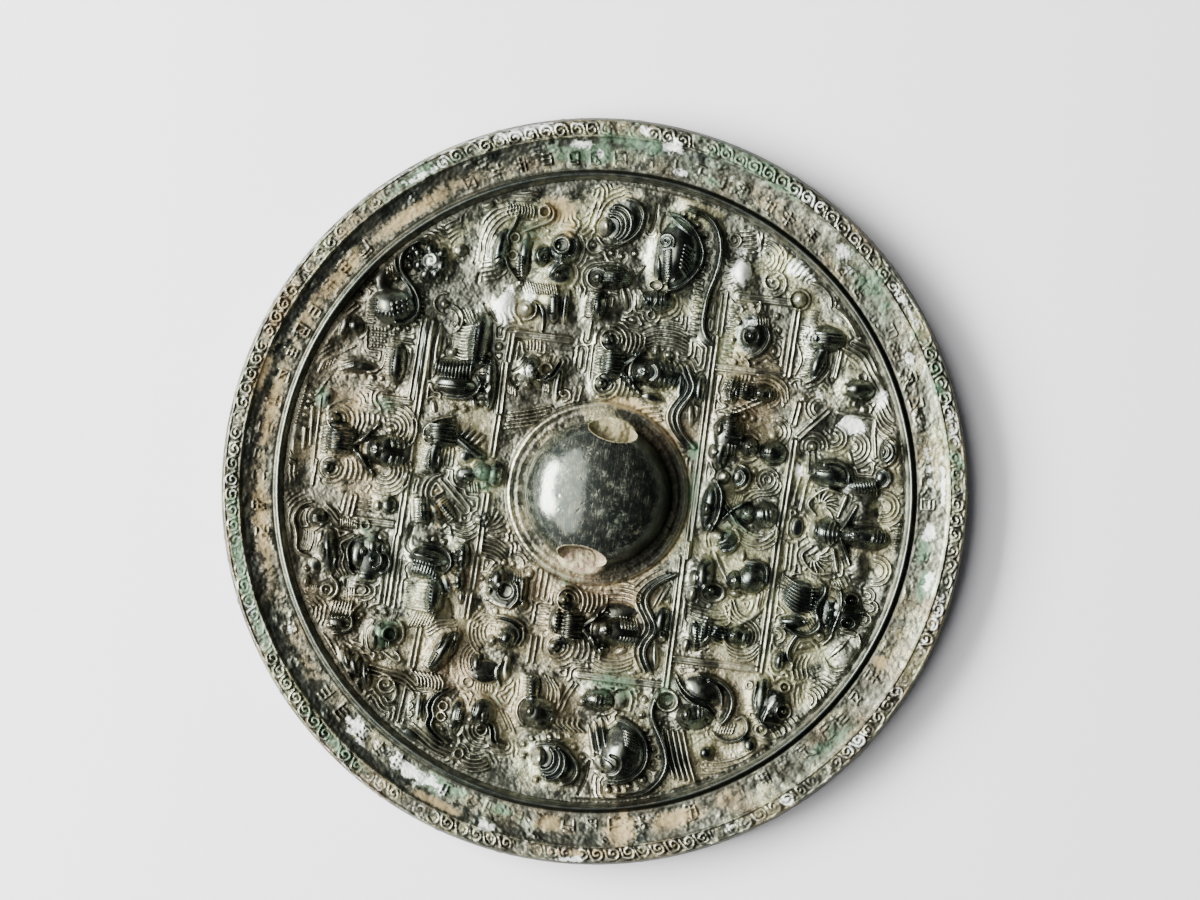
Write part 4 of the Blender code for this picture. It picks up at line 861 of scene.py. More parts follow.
def fourth_register(art):
    """Two crouching beasts face a deity across a small altar."""
    # The beast at the left.
    dark_dome(art, -16.9, -21.0, 9.8, 2.4, 2.1, 2, 5)
    each(art.boss, (-23.8, -20.3, 1.4, 1.2, 1.3), (-22.2, -21.8, 1.0, 0.9, 1.0),
         (-21.8, -28.5, 1.8, 2.0, 1.2), (-30.2, -31.0, 1.7, 1.7, 1.4))
    art.strokes((-21.6, -22.0), (-20.0, -22.2), 3, 1.7, 65)
    each(art.mass, (-24.2, -23.7, 10.4, 3.8, 2.3, -3), (-18.8, -27.9, 3.2, 7.8, 1.3),
         (-16.0, -27.2, 3.2, 7.4, 2.0), (-13.2, -23.5, 2.6, 1.1, 1.2, 14),
         (-11.6, -30.6, 2.4, 1.2, 0.9, 14), (-21.6, -31.3, 10.0, 1.2, 0.9, -3, 0.3))
    art.strokes((-27.2, -26.6), (-20.8, -26.4), 11, 3.8, 104, 86, bend=-0.35, width=0.56, height=0.7)
    art.strokes((-28.6, -24.6), (-28.4, -28.2), 6, 2.4, 30, width=0.5, height=0.6)
    for reach in (1.7, 2.6):
        art.arc(-27.6, -30.0, reach, 40, 165, 0.62, 0.8)
    art.arc(-26.6, -28.6, 0.55, width=0.4, height=0.7)
    art.strokes((-18.8, -24.5), (-18.8, -31.4), 11, 2.6, 0, -6, width=0.56, height=0.6)
    art.thread([(-15.4, -25.4), (-15.3, -30.4)], 0.8, 0.7)
    art.strand([(-18.0, -23.5), (-16.7, -22.8), (-15.2, -23.2), (-14.1, -24.6), (-13.6, -26.4),
                (-13.6, -28.8)], 0.6, 2.2, 0.2)
    socketed(art, ((-16.3, -22.2), (-13.4, -22.2), (-11.9, -25.1), (-11.8, -27.0)), 1.1, 1.0)
    art.pit(-30.3, -31.0, 2.6, 2.6, 0.4)
    art.arc(-30.3, -31.0, 1.9, 170, 370, 0.5, 0.8)
    # The deity behind its altar.
    each(art.mass, (-1.0, -20.4, 2.8, 3.6, 2.0), (0.0, -23.6, 3.4, 3.2, 1.4), (-3.3, -23.8, 2.2, 2.4, 1.0),
         (-7.0, -28.3, 5.2, 6.4, 1.9), (6.6, -25.9, 5.4, 2.0, 1.6, 40), (7.2, -27.9, 4.8, 1.7, 1.5, 30))
    calm_face(art, -1.0, -20.8, 2.4)
    each(art.strokes, ((2.0, -20.8), (2.0, -22.8), 4, 1.7, 14), ((-4.0, -31.5), (0.8, -31.5), 12, 1.6, 90),
         ((4.6, -27.6), (8.2, -24.6), 9, 1.7, -42), ((4.8, -31.5), (9.2, -30.9), 10, 1.4, 92))
    art.boss(0.2, -23.4, 1.0, height=0.7)
    for i in range(4):
        art.mass(-6.7 - 0.35 * i, -21.6 - 1.0 * i, 2.8, 0.9, 1.1, -38, 0.8)
    art.strand([(-6.2, -25.2), (-4.9, -23.0), (-3.8, -21.0)], 1.7, 1.6, 0.1)
    art.strokes((-9.0, -28.2), (-5.2, -28.2), 6, 4.8, 94, 88, width=0.5)
    art.thread([(-10.2, -27.0), (-9.4, -29.6), (-7.6, -31.7), (-5.4, -31.6), (-4.8, -30.2)], 0.5, 0.8)
    art.boss(-6.0, -30.8, 1.1, 1.9, 1.3)
    art.strokes((-3.0, -25.8), (-3.0, -28.6), 4, 3.0, 2, -8, width=0.55)
    dark_dome(art, -2.3, -29.4, 5.2, 2.6, 2.1, 0, 12)
    for shift in (0.0, 0.8):
        art.strand([(0.1, -27.4 - shift), (1.5, -29.5 - shift), (3.5, -30.2 - shift), (5.6, -29.8 - shift)],
                   0.55, 1.1)
    art.strokes((2.4, -26.6), (5.0, -24.0), 5, 3.8, 48, width=0.5)
    dark_dome(art, 7.0, -29.9, 5.2, 2.1, 2.0, 10, 10)
    art.flow([(8.0, -20.6), (9.2, -22.2), (9.0, -24.4)], 4, (0.75, 0.2))
    art.swell(11.2, -28.6, 3.0, 6.4, 0.8)
    # The beast at the right.
    dark_dome(art, 14.3, -22.0, 5.6, 2.2, 2.1, 2, 5)
    dark_dome(art, 18.7, -22.2, 4.2, 1.8, 1.8, 6, 4)
    socketed(art, ((13.9, -23.8), (17.0, -23.4), (12.3, -25.8), (12.1, -27.6)), 1.1, 1.0)
    art.strand([(13.1, -29.6), (13.3, -26.5), (14.2, -24.8), (15.7, -24.1), (17.0, -24.4), (17.9, -25.3)],
               0.6, 2.2, 0.2)
    each(art.mass, (15.3, -28.0, 3.6, 7.2, 2.0), (17.9, -28.6, 2.6, 6.2, 1.2), (22.3, -26.2, 6.9, 3.4, 2.5),
         (19.9, -24.3, 4.0, 1.4, 1.0, 25), (21.7, -21.5, 2.6, 1.2, 1.1), (31.8, -23.3, 9.4, 3.2, 2.3, -28))
    art.thread([(15.4, -25.8), (15.2, -28.6), (15.0, -31.0)], 0.9, 0.7)
    art.strokes((18.0, -26.0), (17.6, -31.2), 9, 2.5, -10, width=0.56, height=0.6)
    art.strokes((20.0, -29.4), (25.2, -29.2), 9, 4.4, 94, 86, width=0.56, height=0.75)
    art.boss(21.4, -24.6, 1.3, 1.0, 1.0)
    art.strokes((26.4, -25.8), (27.0, -30.2), 8, 2.7, -18, -24, width=0.5, height=0.6)
    art.boss(30.3, -24.5, 4.2, 1.2, 1.4, -24)
    fringe(art, (31.8, -25.0), (35.0, -26.4), 9, 1.2, 60)
    art.flow([(27.2, -21.8), (27.8, -24.6), (29.4, -26.6)], 4, (-0.6, -0.25))
    art.strokes((28.5, -20.9), (28.5, -21.9), 2, 2.0, 2)
    art.strokes((37.6, -23.0), (37.2, -28.4), 8, 2.7, 16, 34, bend=0.4, width=0.6, height=0.9)
    art.flow([(38.6, -27.6), (36.9, -30.0), (36.4, -33.0), (35.9, -36.2)], 3, (0.75, -0.15), 0.5, 0.7)
    art.flow([(39.0, -23.6), (38.8, -25.6), (39.3, -27.6)], 2, (0.6, 0.1))


def bottom_register(art):
    """The coiled beast, the deity under its hoods, the framed mask and the birds."""
    # The rosette and the scaled beast.
    socketed(art, ((-40.2, -29.3),), 2.6, 1.3)
    for x, y, size in ((-39.4, -32.2, 2.4), (-37.0, -31.9, 2.4), (-35.0, -32.8, 2.6), (-34.8, -35.0, 2.2),
                       (-39.9, -34.5, 2.2), (-38.6, -36.6, 2.0), (-36.4, -36.4, 2.0), (-39.3, -37.5, 1.4),
                       (-37.7, -38.2, 1.4), (-36.2, -38.0, 1.2)):
        art.mass(x, y, size, size * 0.85, 1.5)
    each(art.mass, (-37.6, -34.2, 3.6, 3.2, 1.2), (-28.5, -39.9, 6.4, 8.6, 2.3, -10),
         (-33.0, -42.4, 4.2, 3.2, 1.3), (-35.6, -42.9, 2.0, 1.5, 1.2), (-18.4, -37.9, 7.6, 2.9, 2.1),
         (-17.2, -44.6, 2.4, 7.0, 1.2), (-24.3, -46.2, 3.2, 2.6, 1.7), (-23.8, -48.2, 4.6, 1.8, 1.2, -10))
    art.spiral(-37.6, -34.2, 1.7, 1.3, 0, -1, 0.5, 0.8)
    tail = [(-41.0, -35.4), (-40.5, -37.6), (-39.0, -39.1), (-37.0, -39.7), (-35.2, -39.3), (-33.6, -38.0),
            (-32.2, -36.7), (-30.5, -35.7), (-28.5, -35.4), (-27.0, -36.1), (-26.0, -37.5), (-25.7, -39.2)]
    art.strand(tail, 0.75, 2.2, 0.2)
    art.strand([(px - 0.2, py - 1.0) for px, py in tail[:8]], 0.6, 1.3, 0.3)
    for row in range(4):
        for i in range(3):
            art.boss(-30.4 + 1.05 * i + 0.5 * row, -37.6 + 0.25 * i - 0.8 * row, 0.85, 0.34, 0.4, 12)
    for row in range(6):
        art.boss(-26.7 - 0.08 * row, -39.4 - 0.75 * row, 0.9, 0.36, 0.45, 6)
    socketed(art, ((-31.0, -35.0), (-29.3, -34.7), (-27.8, -34.8), (-26.0, -35.6), (-25.0, -36.9),
                   (-24.7, -38.5), (-24.8, -40.2)), 0.75, 0.7)
    for row in range(5):
        art.beads((-24.2, -40.9 - 0.6 * row), (-21.2, -40.7 - 0.6 * row), 4, 0.6, 0.45)
    fringe(art, (-29.6, -43.6), (-25.0, -43.8), 7, 1.4)
    art.strokes((-35.2, -40.7), (-35.0, -42.0), 3, 1.4, 16)
    socketed(art, ((-33.6, -40.0), (-32.3, -44.4), (-30.3, -46.2)), 0.9, 0.9)
    art.strokes((-21.4, -39.6), (-16.2, -39.5), 11, 1.3, 92, width=0.45, height=0.7)
    art.thread([(-22.4, -35.8), (-22.6, -39.4)], 0.5, 0.6)
    art.thread([(-20.0, -40.4), (-18.0, -40.6), (-16.7, -41.6), (-16.2, -43.2)], 0.5, 0.7)
    socketed(art, ((-15.5, -40.6), (-15.4, -42.2), (-15.4, -43.8), (-15.3, -45.4), (-15.1, -47.0),
                   (-14.9, -48.6)), 1.1, 0.8)
    art.flow([(-20.8, -46.0), (-19.4, -48.6), (-17.2, -49.6)], 5, (0.45, -0.6))
    art.flow([(-18.6, -45.8), (-17.6, -48.2)], 3, (0.7, 0.1))
    art.flow([(-28.0, -46.2), (-26.6, -47.6), (-24.0, -49.4)], 3, (-0.4, -0.75))

    # The deity under its two hoods.
    art.swell(-6.9, -37.6, 7.0, 7.0, 1.0)
    art.arcs(-6.9, -37.7, 0.9, 4.5, 55, 205)
    art.boss(-6.6, -37.8, 1.2, 1.6, 0.9)
    art.swell(1.0, -37.9, 7.0, 7.0, 1.0)
    art.arcs(0.8, -37.9, 1.0, 4.8, -25, 115)
    seated_deity(art, -2.7, -37.6, (5.8, 7.4), (-3.8, -46.2, 5.8, 5.6), ((-7.4, -47.4), (1.5, -47.6)), 3, 6)
    art.boss(-3.1, -38.6, 1.4, 0.8, 0.9)
    art.mass(-10.4, -50.0, 4.6, 2.2, 1.1, -18)
    art.thread([(-10.8, -44.8), (-10.8, -47.0), (-9.6, -49.0), (-8.0, -49.6)], 0.5, 0.7)
    art.beads((-12.6, -54.0), (-6.0, -55.0), 8, 0.8, 0.6)
    art.beads((-11.0, -52.8), (-7.4, -53.4), 4, 0.7, 0.5)
    art.strokes((-14.0, -50.4), (-11.6, -51.6), 3, 2.2, -34)

    # The framed mask and the crouching animal below it.
    each(art.mass, (7.0, -36.5, 3.4, 2.8, 1.8), (16.2, -38.3, 8.4, 6.0, 1.2), (14.6, -38.2, 3.2, 2.2, 1.9),
         (16.0, -40.9, 6.4, 2.6, 1.8), (20.4, -38.8, 1.7, 3.4, 1.3, -8), (16.5, -45.9, 8.6, 2.4, 2.3, 9),
         (10.7, -48.8, 3.2, 3.2, 1.8), (19.4, -48.4, 3.2, 2.0, 1.0, 20))
    each(art.boss, (7.3, -38.6, 1.8, 1.4, 1.3), (17.1, -38.1, 0.9, 0.9, 1.0), (15.7, -39.8, 1.5, 1.0, 1.1),
         (16.6, -47.2, 2.9, 0.9, 1.3, 12), (22.3, -49.5, 2.2, 1.2, 1.2), (20.0, -49.8, 1.1, 1.1, 0.9))
    each(art.strokes, ((5.8, -40.8), (8.8, -40.8), 4, 2.0, 90), ((14.8, -35.5), (14.7, -36.7), 3, 1.5, 6),
         ((23.3, -40.6), (23.8, -42.8), 5, 1.6, 4), ((21.2, -41.2), (22.6, -41.2), 4, 1.6, 90),
         ((10.0, -48.8), (11.6, -48.8), 3, 2.0, 92), ((11.4, -47.4), (12.8, -48.8), 3, 2.2, -50),
         ((23.3, -47.0), (23.2, -49.2), 6, 0.9, 0))
    socketed(art, ((12.6, -36.8),), 1.7, 1.2)
    art.strand([(15.6, -36.5), (16.2, -35.4), (17.4, -35.0), (18.6, -35.4), (19.3, -36.4)], 0.75, 1.8)
    art.pit(17.1, -37.6, 2.4, 1.6, 0.5)
    art.thread([(15.5, -37.4), (16.4, -36.6), (17.6, -36.6), (18.4, -37.6)], 0.6, 0.8)
    art.strand([(13.0, -41.0), (14.3, -42.4), (15.8, -42.9), (17.4, -42.5), (19.2, -42.0), (20.0, -41.2)],
               0.65, 1.7)
    for i in range(3):
        art.thread([(16.8 + 0.4 * i, -43.3 - 0.7 * i), (18.6 + 0.3 * i, -43.5 - 0.6 * i),
                    (20.2 + 0.2 * i, -42.5 - 0.6 * i)], 0.5, 0.7)
    art.thread([(13.2, -42.0), (14.8, -44.2), (16.6, -43.6)], 0.5, 0.7)
    art.arc(11.0, -40.3, 0.8, width=0.45, height=0.8)
    art.strokes((11.1, -41.6), (11.0, -44.9), 8, 1.4, 4, height=0.6)
    art.flow([(21.8, -40.2), (21.8, -38.8), (22.7, -38.0), (23.5, -38.6), (23.8, -40.6)], 2, (0.0, -0.8))
    for shift in (0.0, 0.9):
        art.strand([(8.3 + shift, -47.6), (9.2 + shift, -46.4), (10.6 + shift, -45.2)], 0.6, 1.2)
    art.strokes((15.0, -49.4), (15.2, -51.4), 5, 3.6, -6, bend=0.25)
    art.strand([(8.0, -50.2), (8.7, -51.9), (10.0, -52.9), (11.6, -53.2), (13.2, -52.6), (15.0, -52.2),
                (16.6, -52.0), (17.5, -51.0), (17.8, -49.6)], 0.6, 1.3)
    art.strand([(21.0, -45.2), (22.2, -44.0), (23.9, -44.0), (25.2, -45.2)], 0.7, 1.3)
    art.pit(23.4, -45.8, 1.4, 1.4, 0.4)
    art.eye(23.4, -45.8, 0.95)

    # The mask and the birds at the right.
    art.strokes((26.4, -40.8), (26.6, -44.8), 7, 2.8, -6, -10, width=0.56, height=0.8)
    each(art.mass, (28.9, -42.6, 2.9, 4.8, 2.0, -12), (29.9, -33.8, 5.2, 5.0, 1.1),
         (30.4, -35.1, 5.6, 2.4, 2.0, 4))
    each(art.boss, (29.8, -44.2, 0.9, 2.0, 1.0, -14), (31.3, -36.3, 3.4, 1.1, 1.3, 10),
         (38.7, -40.8, 1.1, 1.1, 1.0))
    art.strand([(25.3, -39.4), (26.3, -40.4), (27.5, -40.8), (28.7, -40.4), (29.9, -40.7), (30.7, -41.8),
                (31.1, -43.6)], 0.65, 1.8)
    socketed(art, ((27.1, -38.9), (27.8, -39.4), (26.2, -34.8), (26.3, -36.7), (34.3, -34.6)), 0.95, 0.9)
    art.thread([(27.6, -31.9), (28.8, -31.2), (30.3, -31.1), (31.4, -31.6)], 0.65, 0.9)
    art.pit(29.8, -33.4, 1.8, 1.8, 0.5)
    art.arc(29.8, -33.4, 1.15, width=0.55, height=1.0)
    each(art.strokes, ((26.8, -32.8), (26.8, -33.9), 3, 1.5, -24),
         ((31.7, -33.2), (31.9, -34.0), 2, 0.9, 0), ((31.6, -45.0), (34.4, -43.2), 4, 2.2, 50))
    art.strand([(33.0, -32.0), (34.1, -31.1), (34.7, -31.6), (34.1, -32.9), (33.4, -34.2)], 0.6, 1.2)
    art.spiral(39.0, -33.2, 1.8, 1.4, 90, -1)
    art.strand([(37.5, -34.2), (37.4, -32.8), (38.3, -31.8), (40.0, -31.2), (41.6, -31.4), (42.1, -32.3),
                (41.4, -33.0)], 0.6, 1.3)
    for x, y, width, length, turn in ((37.3, -36.8, 5.4, 1.7, 12), (36.0, -38.8, 4.8, 2.2, 18),
                                      (35.0, -40.6, 4.0, 1.5, 22), (36.9, -41.6, 2.4, 1.0, 22),
                                      (40.6, -38.0, 2.4, 1.4, 18), (38.7, -39.7, 2.5, 1.2, 24)):
        art.mass(x, y, width, length, 1.9, turn)


# Surfaces of the casting

def field_art(sizes):
    """The whole relief of the field as a Carving."""
    fine = sizes.mesh_step / UNIT / 2
    reach = FIELD_RADIUS + 1.4
    art = Carving((-reach, -reach), (reach, reach), (fine, fine), sizes.line_thickness, sizes.line_relief)
    for register in (borders, top_register, second_register, middle_register, beast_register,
                     fourth_register, bottom_register):
        register(art)
    flowing_lines(art)
    return art


def flowing_lines(art):
    """Fills the ground left between the motifs with lines that flow round them, as drapery and cloud."""
    step = art.step[0]
    taken = (art.bodies > 0.12) | (art.lines > 0.12) | (art.hollows > 0.2)
    away = distance_from(taken, 5.0 / step) * step
    away = blurred(np.minimum(away, 5.0), 0.12 / step)
    ridge = abs((away - 0.38) / PITCH % 1.0 - 0.5) * 2 * PITCH
    lines = np.sqrt(np.clip(1 - (ridge / THREAD / 1.1) ** 2, 0, None))
    lines = lines * ramp(away, 0.42, 0.6) * ramp(mottle(away.shape, 2.2 / step, 2), -0.4, 0.9)
    np.maximum(art.lines, RAISE * lines * ramp(-art.swells, -0.9, -0.3), out=art.lines)


def settled(height, step, depth, amount):
    """The heights with earth settled in their hollows, and the share of its full depth everywhere."""
    hollow = ramp(blurred(height, 0.9 / step) - height, 0.0, 0.45) * amount
    return height + depth * hollow, hollow


def stained(x, y, places):
    """How strongly a stain covers each point. places holds (x, y, width, length, strength)."""
    cover = np.zeros(x.shape)
    for px, py, width, length, strength in places:
        away = ((x - px) / width) ** 2 + ((y - py) / length) ** 2
        cover = np.maximum(cover, strength * np.exp(-2.2 * away))
    return cover


GREEN_PLACES = (
    (-44.0, -18.0, 8.0, 7.0, 0.5), (-51.0, 8.0, 5.0, 10.0, 0.45), (34.0, 8.0, 5.0, 9.0, 0.75),
    (34.0, 17.5, 7.0, 4.0, 0.6), (0.0, -20.0, 7.0, 5.0, 0.7), (-2.0, 17.5, 10.0, 3.0, 0.6),
    (4.0, 26.0, 10.0, 6.0, 0.5), (30.0, -34.0, 6.0, 5.0, 0.6), (40.0, 24.0, 6.0, 5.0, 0.5),
    (12.0, -40.0, 5.0, 4.0, 0.5), (-11.0, -39.0, 3.0, 5.0, 0.6), (38.0, -12.0, 8.0, 5.0, 0.4),
    (24.0, 45.0, 6.0, 4.0, 0.4), (-28.0, 20.0, 8.0, 4.0, 0.4), (16.0, -4.0, 5.0, 7.0, 0.45),
    (24.0, 32.0, 24.0, 18.0, 0.3), (-9.5, 17.0, 3.4, 2.4, 0.9), (-11.0, -51.0, 4.0, 2.4, 0.8),
)
BLOOM_PLACES = (
    (-17.4, 44.5, 2.6, 4.0, 1.4), (-22.8, 49.4, 2.8, 1.8, 1.3), (-42.5, 21.5, 4.0, 3.4, 1.1),
    (-44.5, 31.5, 2.8, 3.4, 1.0), (-31.0, -20.0, 6.0, 2.8, 1.2), (-33.5, -16.0, 2.2, 2.0, 1.2),
    (-37.4, -33.8, 3.4, 3.0, 0.8), (-34.0, 24.0, 6.0, 2.4, 0.6), (-8.5, 36.0, 4.0, 1.6, 0.7),
    (-33.0, 35.0, 6.0, 2.6, 0.6), (-43.0, 34.0, 3.0, 2.4, 0.6), (-20.0, -14.5, 3.6, 2.6, 0.6),
    (34.0, 36.0, 4.6, 2.4, 0.7), (-6.0, 45.0, 3.0, 2.4, 0.6), (-47.0, 24.0, 4.0, 3.0, 0.5),
    (-22.0, 38.0, 3.0, 2.6, 0.5), (-46.0, 21.0, 3.0, 3.0, 0.6),
)
RUST_PLACES = (
    (-49.5, -12.5, 4.2, 5.6, 1.0), (-46.0, -10.0, 3.6, 2.6, 0.8), (6.0, -27.0, 9.0, 6.0, 0.45),
    (-8.0, -45.0, 14.0, 6.0, 0.45), (48.0, 31.0, 3.0, 3.0, 0.4), (-16.3, 4.0, 2.6, 9.0, 0.7),
)
DARK_PLACES = (
    (-30.0, -45.0, 22.0, 12.0, 0.62), (-52.0, -24.0, 6.0, 14.0, 0.4), (14.0, -50.0, 20.0, 6.0, 0.45),
    (40.0, -36.0, 10.0, 10.0, 0.3), (2.0, 38.0, 12.0, 10.0, 0.25),
)


def cord_hole_axes(x, y):
    """Distances along and across the cord hole from the knob's middle."""
    c, s = math.cos(CHANNEL_TURN), math.sin(CHANNEL_TURN)
    u, v = x - KNOB_X, y - KNOB_Y
    return u * c + v * s, v * c - u * s


def field_surface(sizes):
    """Heights of the field at the fine step, with their masks for the finish."""
    art = field_art(sizes)
    x, y, step = art.x, art.y, art.step[0]
    radius = np.hypot(x, y)
    from_knob = np.hypot(x - KNOB_X, y - KNOB_Y)
    skirt = np.roll(blurred(art.bodies, 0.9 / step), -round(1.0 / step), 0)
    mound = blurred(art.bodies, 2.2 / step)
    ground = art.swells + 0.75 * skirt + 0.9 * mound + 0.26 * mottle(x.shape, 1.7 / step, 3)
    crispness = np.clip(1.2 + 0.35 * mottle(x.shape, 2.5 / step, 11), 0.4, 1.7)
    relief = 0.85 * art.bodies * (1 + 0.04 * mottle(x.shape, 1.1 / step, 4)) + crispness * art.lines + ground
    relief = np.maximum(relief - art.hollows, -0.1)
    relief = relief * ramp(FIELD_RADIUS + 0.25 - radius, 0.0, 0.7)
    relief = relief * ramp(from_knob, SEAT_RADIUS, SEAT_RADIUS + 0.5)
    seat = (SEAT_Z - FIELD_Z) * ramp(SEAT_RADIUS + 0.1 - from_knob, 0.0, 0.5)
    lip = sum(rise * np.exp(-((from_knob - reach) / 0.4) ** 2) for reach, rise in SEAT_LIPS)
    cove = COVE_RISE * ramp(radius, *COVE)
    height = blurred(relief + seat + lip + cove, 0.07 / step)

    along, across = cord_hole_axes(x, y)
    mouth = 0.0
    for side, reach, rise in CLAY_MOUNDS:
        away = ((along - side * reach) / 2.5) ** 2 + ((across - 0.3) / 4.5) ** 2
        mouth = np.maximum(mouth, rise * np.clip(1.1 - away, 0, 1) ** 0.6)
    bed = (abs(across) < CHANNEL_WIDTH / 2) & (abs(along) < CLAY_BED)
    lumps = 0.14 * mottle(x.shape, 0.8 / step, 5) + 0.05 * mottle(x.shape, 0.25 / step, 6)
    clay = np.maximum(ramp(mouth, 0.1, 0.5), bed * 1.0)
    height = height + clay * (0.25 + mouth + lumps * (0.4 + mouth)) * 0.9

    cover = 0.75 + 0.3 * mottle(x.shape, 5.0 / step, 7)
    height, hollow = settled(height, step, sizes.earth_depth / UNIT, np.clip(cover, 0.25, 1.2))
    grain = 0.020 * mottle(x.shape, 0.16 / step, 8) + 0.028 * mottle(x.shape, 0.5 / step, 9)
    proud = ramp(blurred(art.bodies, 0.3 / step), 0.3, 0.9)
    height = FIELD_Z + height + grain * (1 + hollow) * (1 - 0.75 * proud)
    rise = height - FIELD_Z
    inside = ramp(-radius, -FIELD_RADIUS - 0.5, 0.5 - FIELD_RADIUS)
    # far and foot mark the knob's seat on the side away from the window, where the knob's shadow is painted
    # on in near-black.
    far = ramp(y - KNOB_Y, -4.0, 4.0)
    foot = ramp(16.5 - from_knob, 0.0, 0.9)
    low = ramp(-y, *LOW_LEVELS)
    bare = 0.6 * ramp(blurred(art.bodies, 0.6 / step), 0.25, 0.9) + 0.26 * low
    # Near-black in the narrow hollows between raised lines: partly dark dirt, partly painted shade standing
    # in for occlusion.
    crevice_dirt_and_shade = (0.62 + 0.14 * low) * ramp(blurred(rise, 0.34 / step) - rise, 0.03, 0.22)
    # A painted shadow of the rim's wall on the field's edge nearest the window, where the wall blocks the
    # light; real dark stains are added to it.
    shadow = 0.6 * ramp(radius, 54.0, 55.5) * ramp(-y, -20.0, 30.0)
    shadow = shadow + stained(x, y, DARK_PLACES) * (1 - 0.7 * proud)
    earth = 0.30 + 0.30 * hollow + 0.36 * mottle(x.shape, 2.2 / step, 10) + 0.3 * foot * (1 - far)
    masks = {
        "earth": np.clip(earth - bare, 0, 1) * inside,
        "brown": np.clip(0.1 + 0.22 * mottle(x.shape, 6.0 / step, 12) + 0.6 * low
                         + stained(x, y, ((34.0, -24.0, 26.0, 26.0, 0.5),)), 0, 0.8),
        "dirt_and_shade": np.max([crevice_dirt_and_shade, 0.99 * far * foot, shadow], axis=0),
        "rubbed": ramp(blurred(art.bodies, 0.5 / step) + 0.35 * skirt, 0.35, 1.1) * inside,
        "crest": ramp(rise - blurred(rise, 0.45 / step), 0.03, 0.25),
        "green": stained(x, y, GREEN_PLACES),
        "bloom_and_glint": stained(x, y, BLOOM_PLACES),
        "rust": stained(x, y, RUST_PLACES) + 0.5 * far * ramp(-abs(from_knob - 16.8), -1.2, -0.4),
        "clay": clay,
        "pink": clay * (x > KNOB_X),
    }
    return art, height, masks


def give_masks(mesh, masks):
    """Stores each mask as a value at every vertex."""
    for name, values in masks.items():
        mask = mesh.attributes.new(name, "FLOAT", "POINT")
        mask.data.foreach_set("value", np.asarray(values, np.float32))


def mesh_of(name, places, faces):
    """A mesh from vertex places in design units and a list of arrays of faces with 3 or 4 corners."""
    mesh = bpy.data.meshes.new(name)
    corners = np.concatenate([part.ravel() for part in faces]).astype(np.int32)
    totals = np.concatenate([np.full(len(part), part.shape[1]) for part in faces]).astype(np.int32)
    mesh.vertices.add(len(places))
    mesh.vertices.foreach_set("co", (np.asarray(places) * UNIT).astype(np.float32).ravel())
    mesh.loops.add(len(corners))
    mesh.loops.foreach_set("vertex_index", corners)
    mesh.polygons.add(len(totals))
    mesh.polygons.foreach_set("loop_start", np.concatenate([[0], np.cumsum(totals)[:-1]]).astype(np.int32))
    mesh.update(calc_edges=True)
    mesh.validate(clean_customdata=False)
    return mesh


def set_normals(mesh, normals, count):
    """Gives the first count corners the normals of their vertices, and leaves the rest to the mesh."""
    corners = np.empty(len(mesh.loops), np.int32)
    mesh.loops.foreach_get("vertex_index", corners)
    split = np.zeros((len(corners), 3), np.float32)
    split[:count] = normals[corners[:count]]
    mesh.normals_split_custom_set(split)


def put(name, mesh, finish):
    """Adds a finished piece of the mirror, which stands for the casting in the frame."""
    mesh.materials.append(finish)
    piece = bpy.data.objects.new(name, mesh)
    bpy.context.scene.collection.objects.link(piece)
    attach(piece, "root")
    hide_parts(NODE)
    return piece


def lower_faces(outline, places):
    """Triangles that close a slab's flat underside, from its outline edges."""
    form = bmesh.new()
    used = np.unique(outline)
    verts = {int(i): form.verts.new(places[i]) for i in used}
    form.verts.index_update()
    edges = [form.edges.new((verts[int(a)], verts[int(b)])) for a, b in outline]
    filled = bmesh.ops.triangle_fill(form, use_beauty=False, use_dissolve=False, edges=edges,
                                     normal=(0.0, 0.0, -1.0))
    faces = [f for f in filled["geom"] if isinstance(f, bmesh.types.BMFace)]
    for face in faces:
        face.normal_update()
        if face.normal.z > 0:
            face.normal_flip()
    names = {vert: i for i, vert in verts.items()}
    corners = np.array([[names[vert] for vert in face.verts] for face in faces])
    form.free()
    return corners


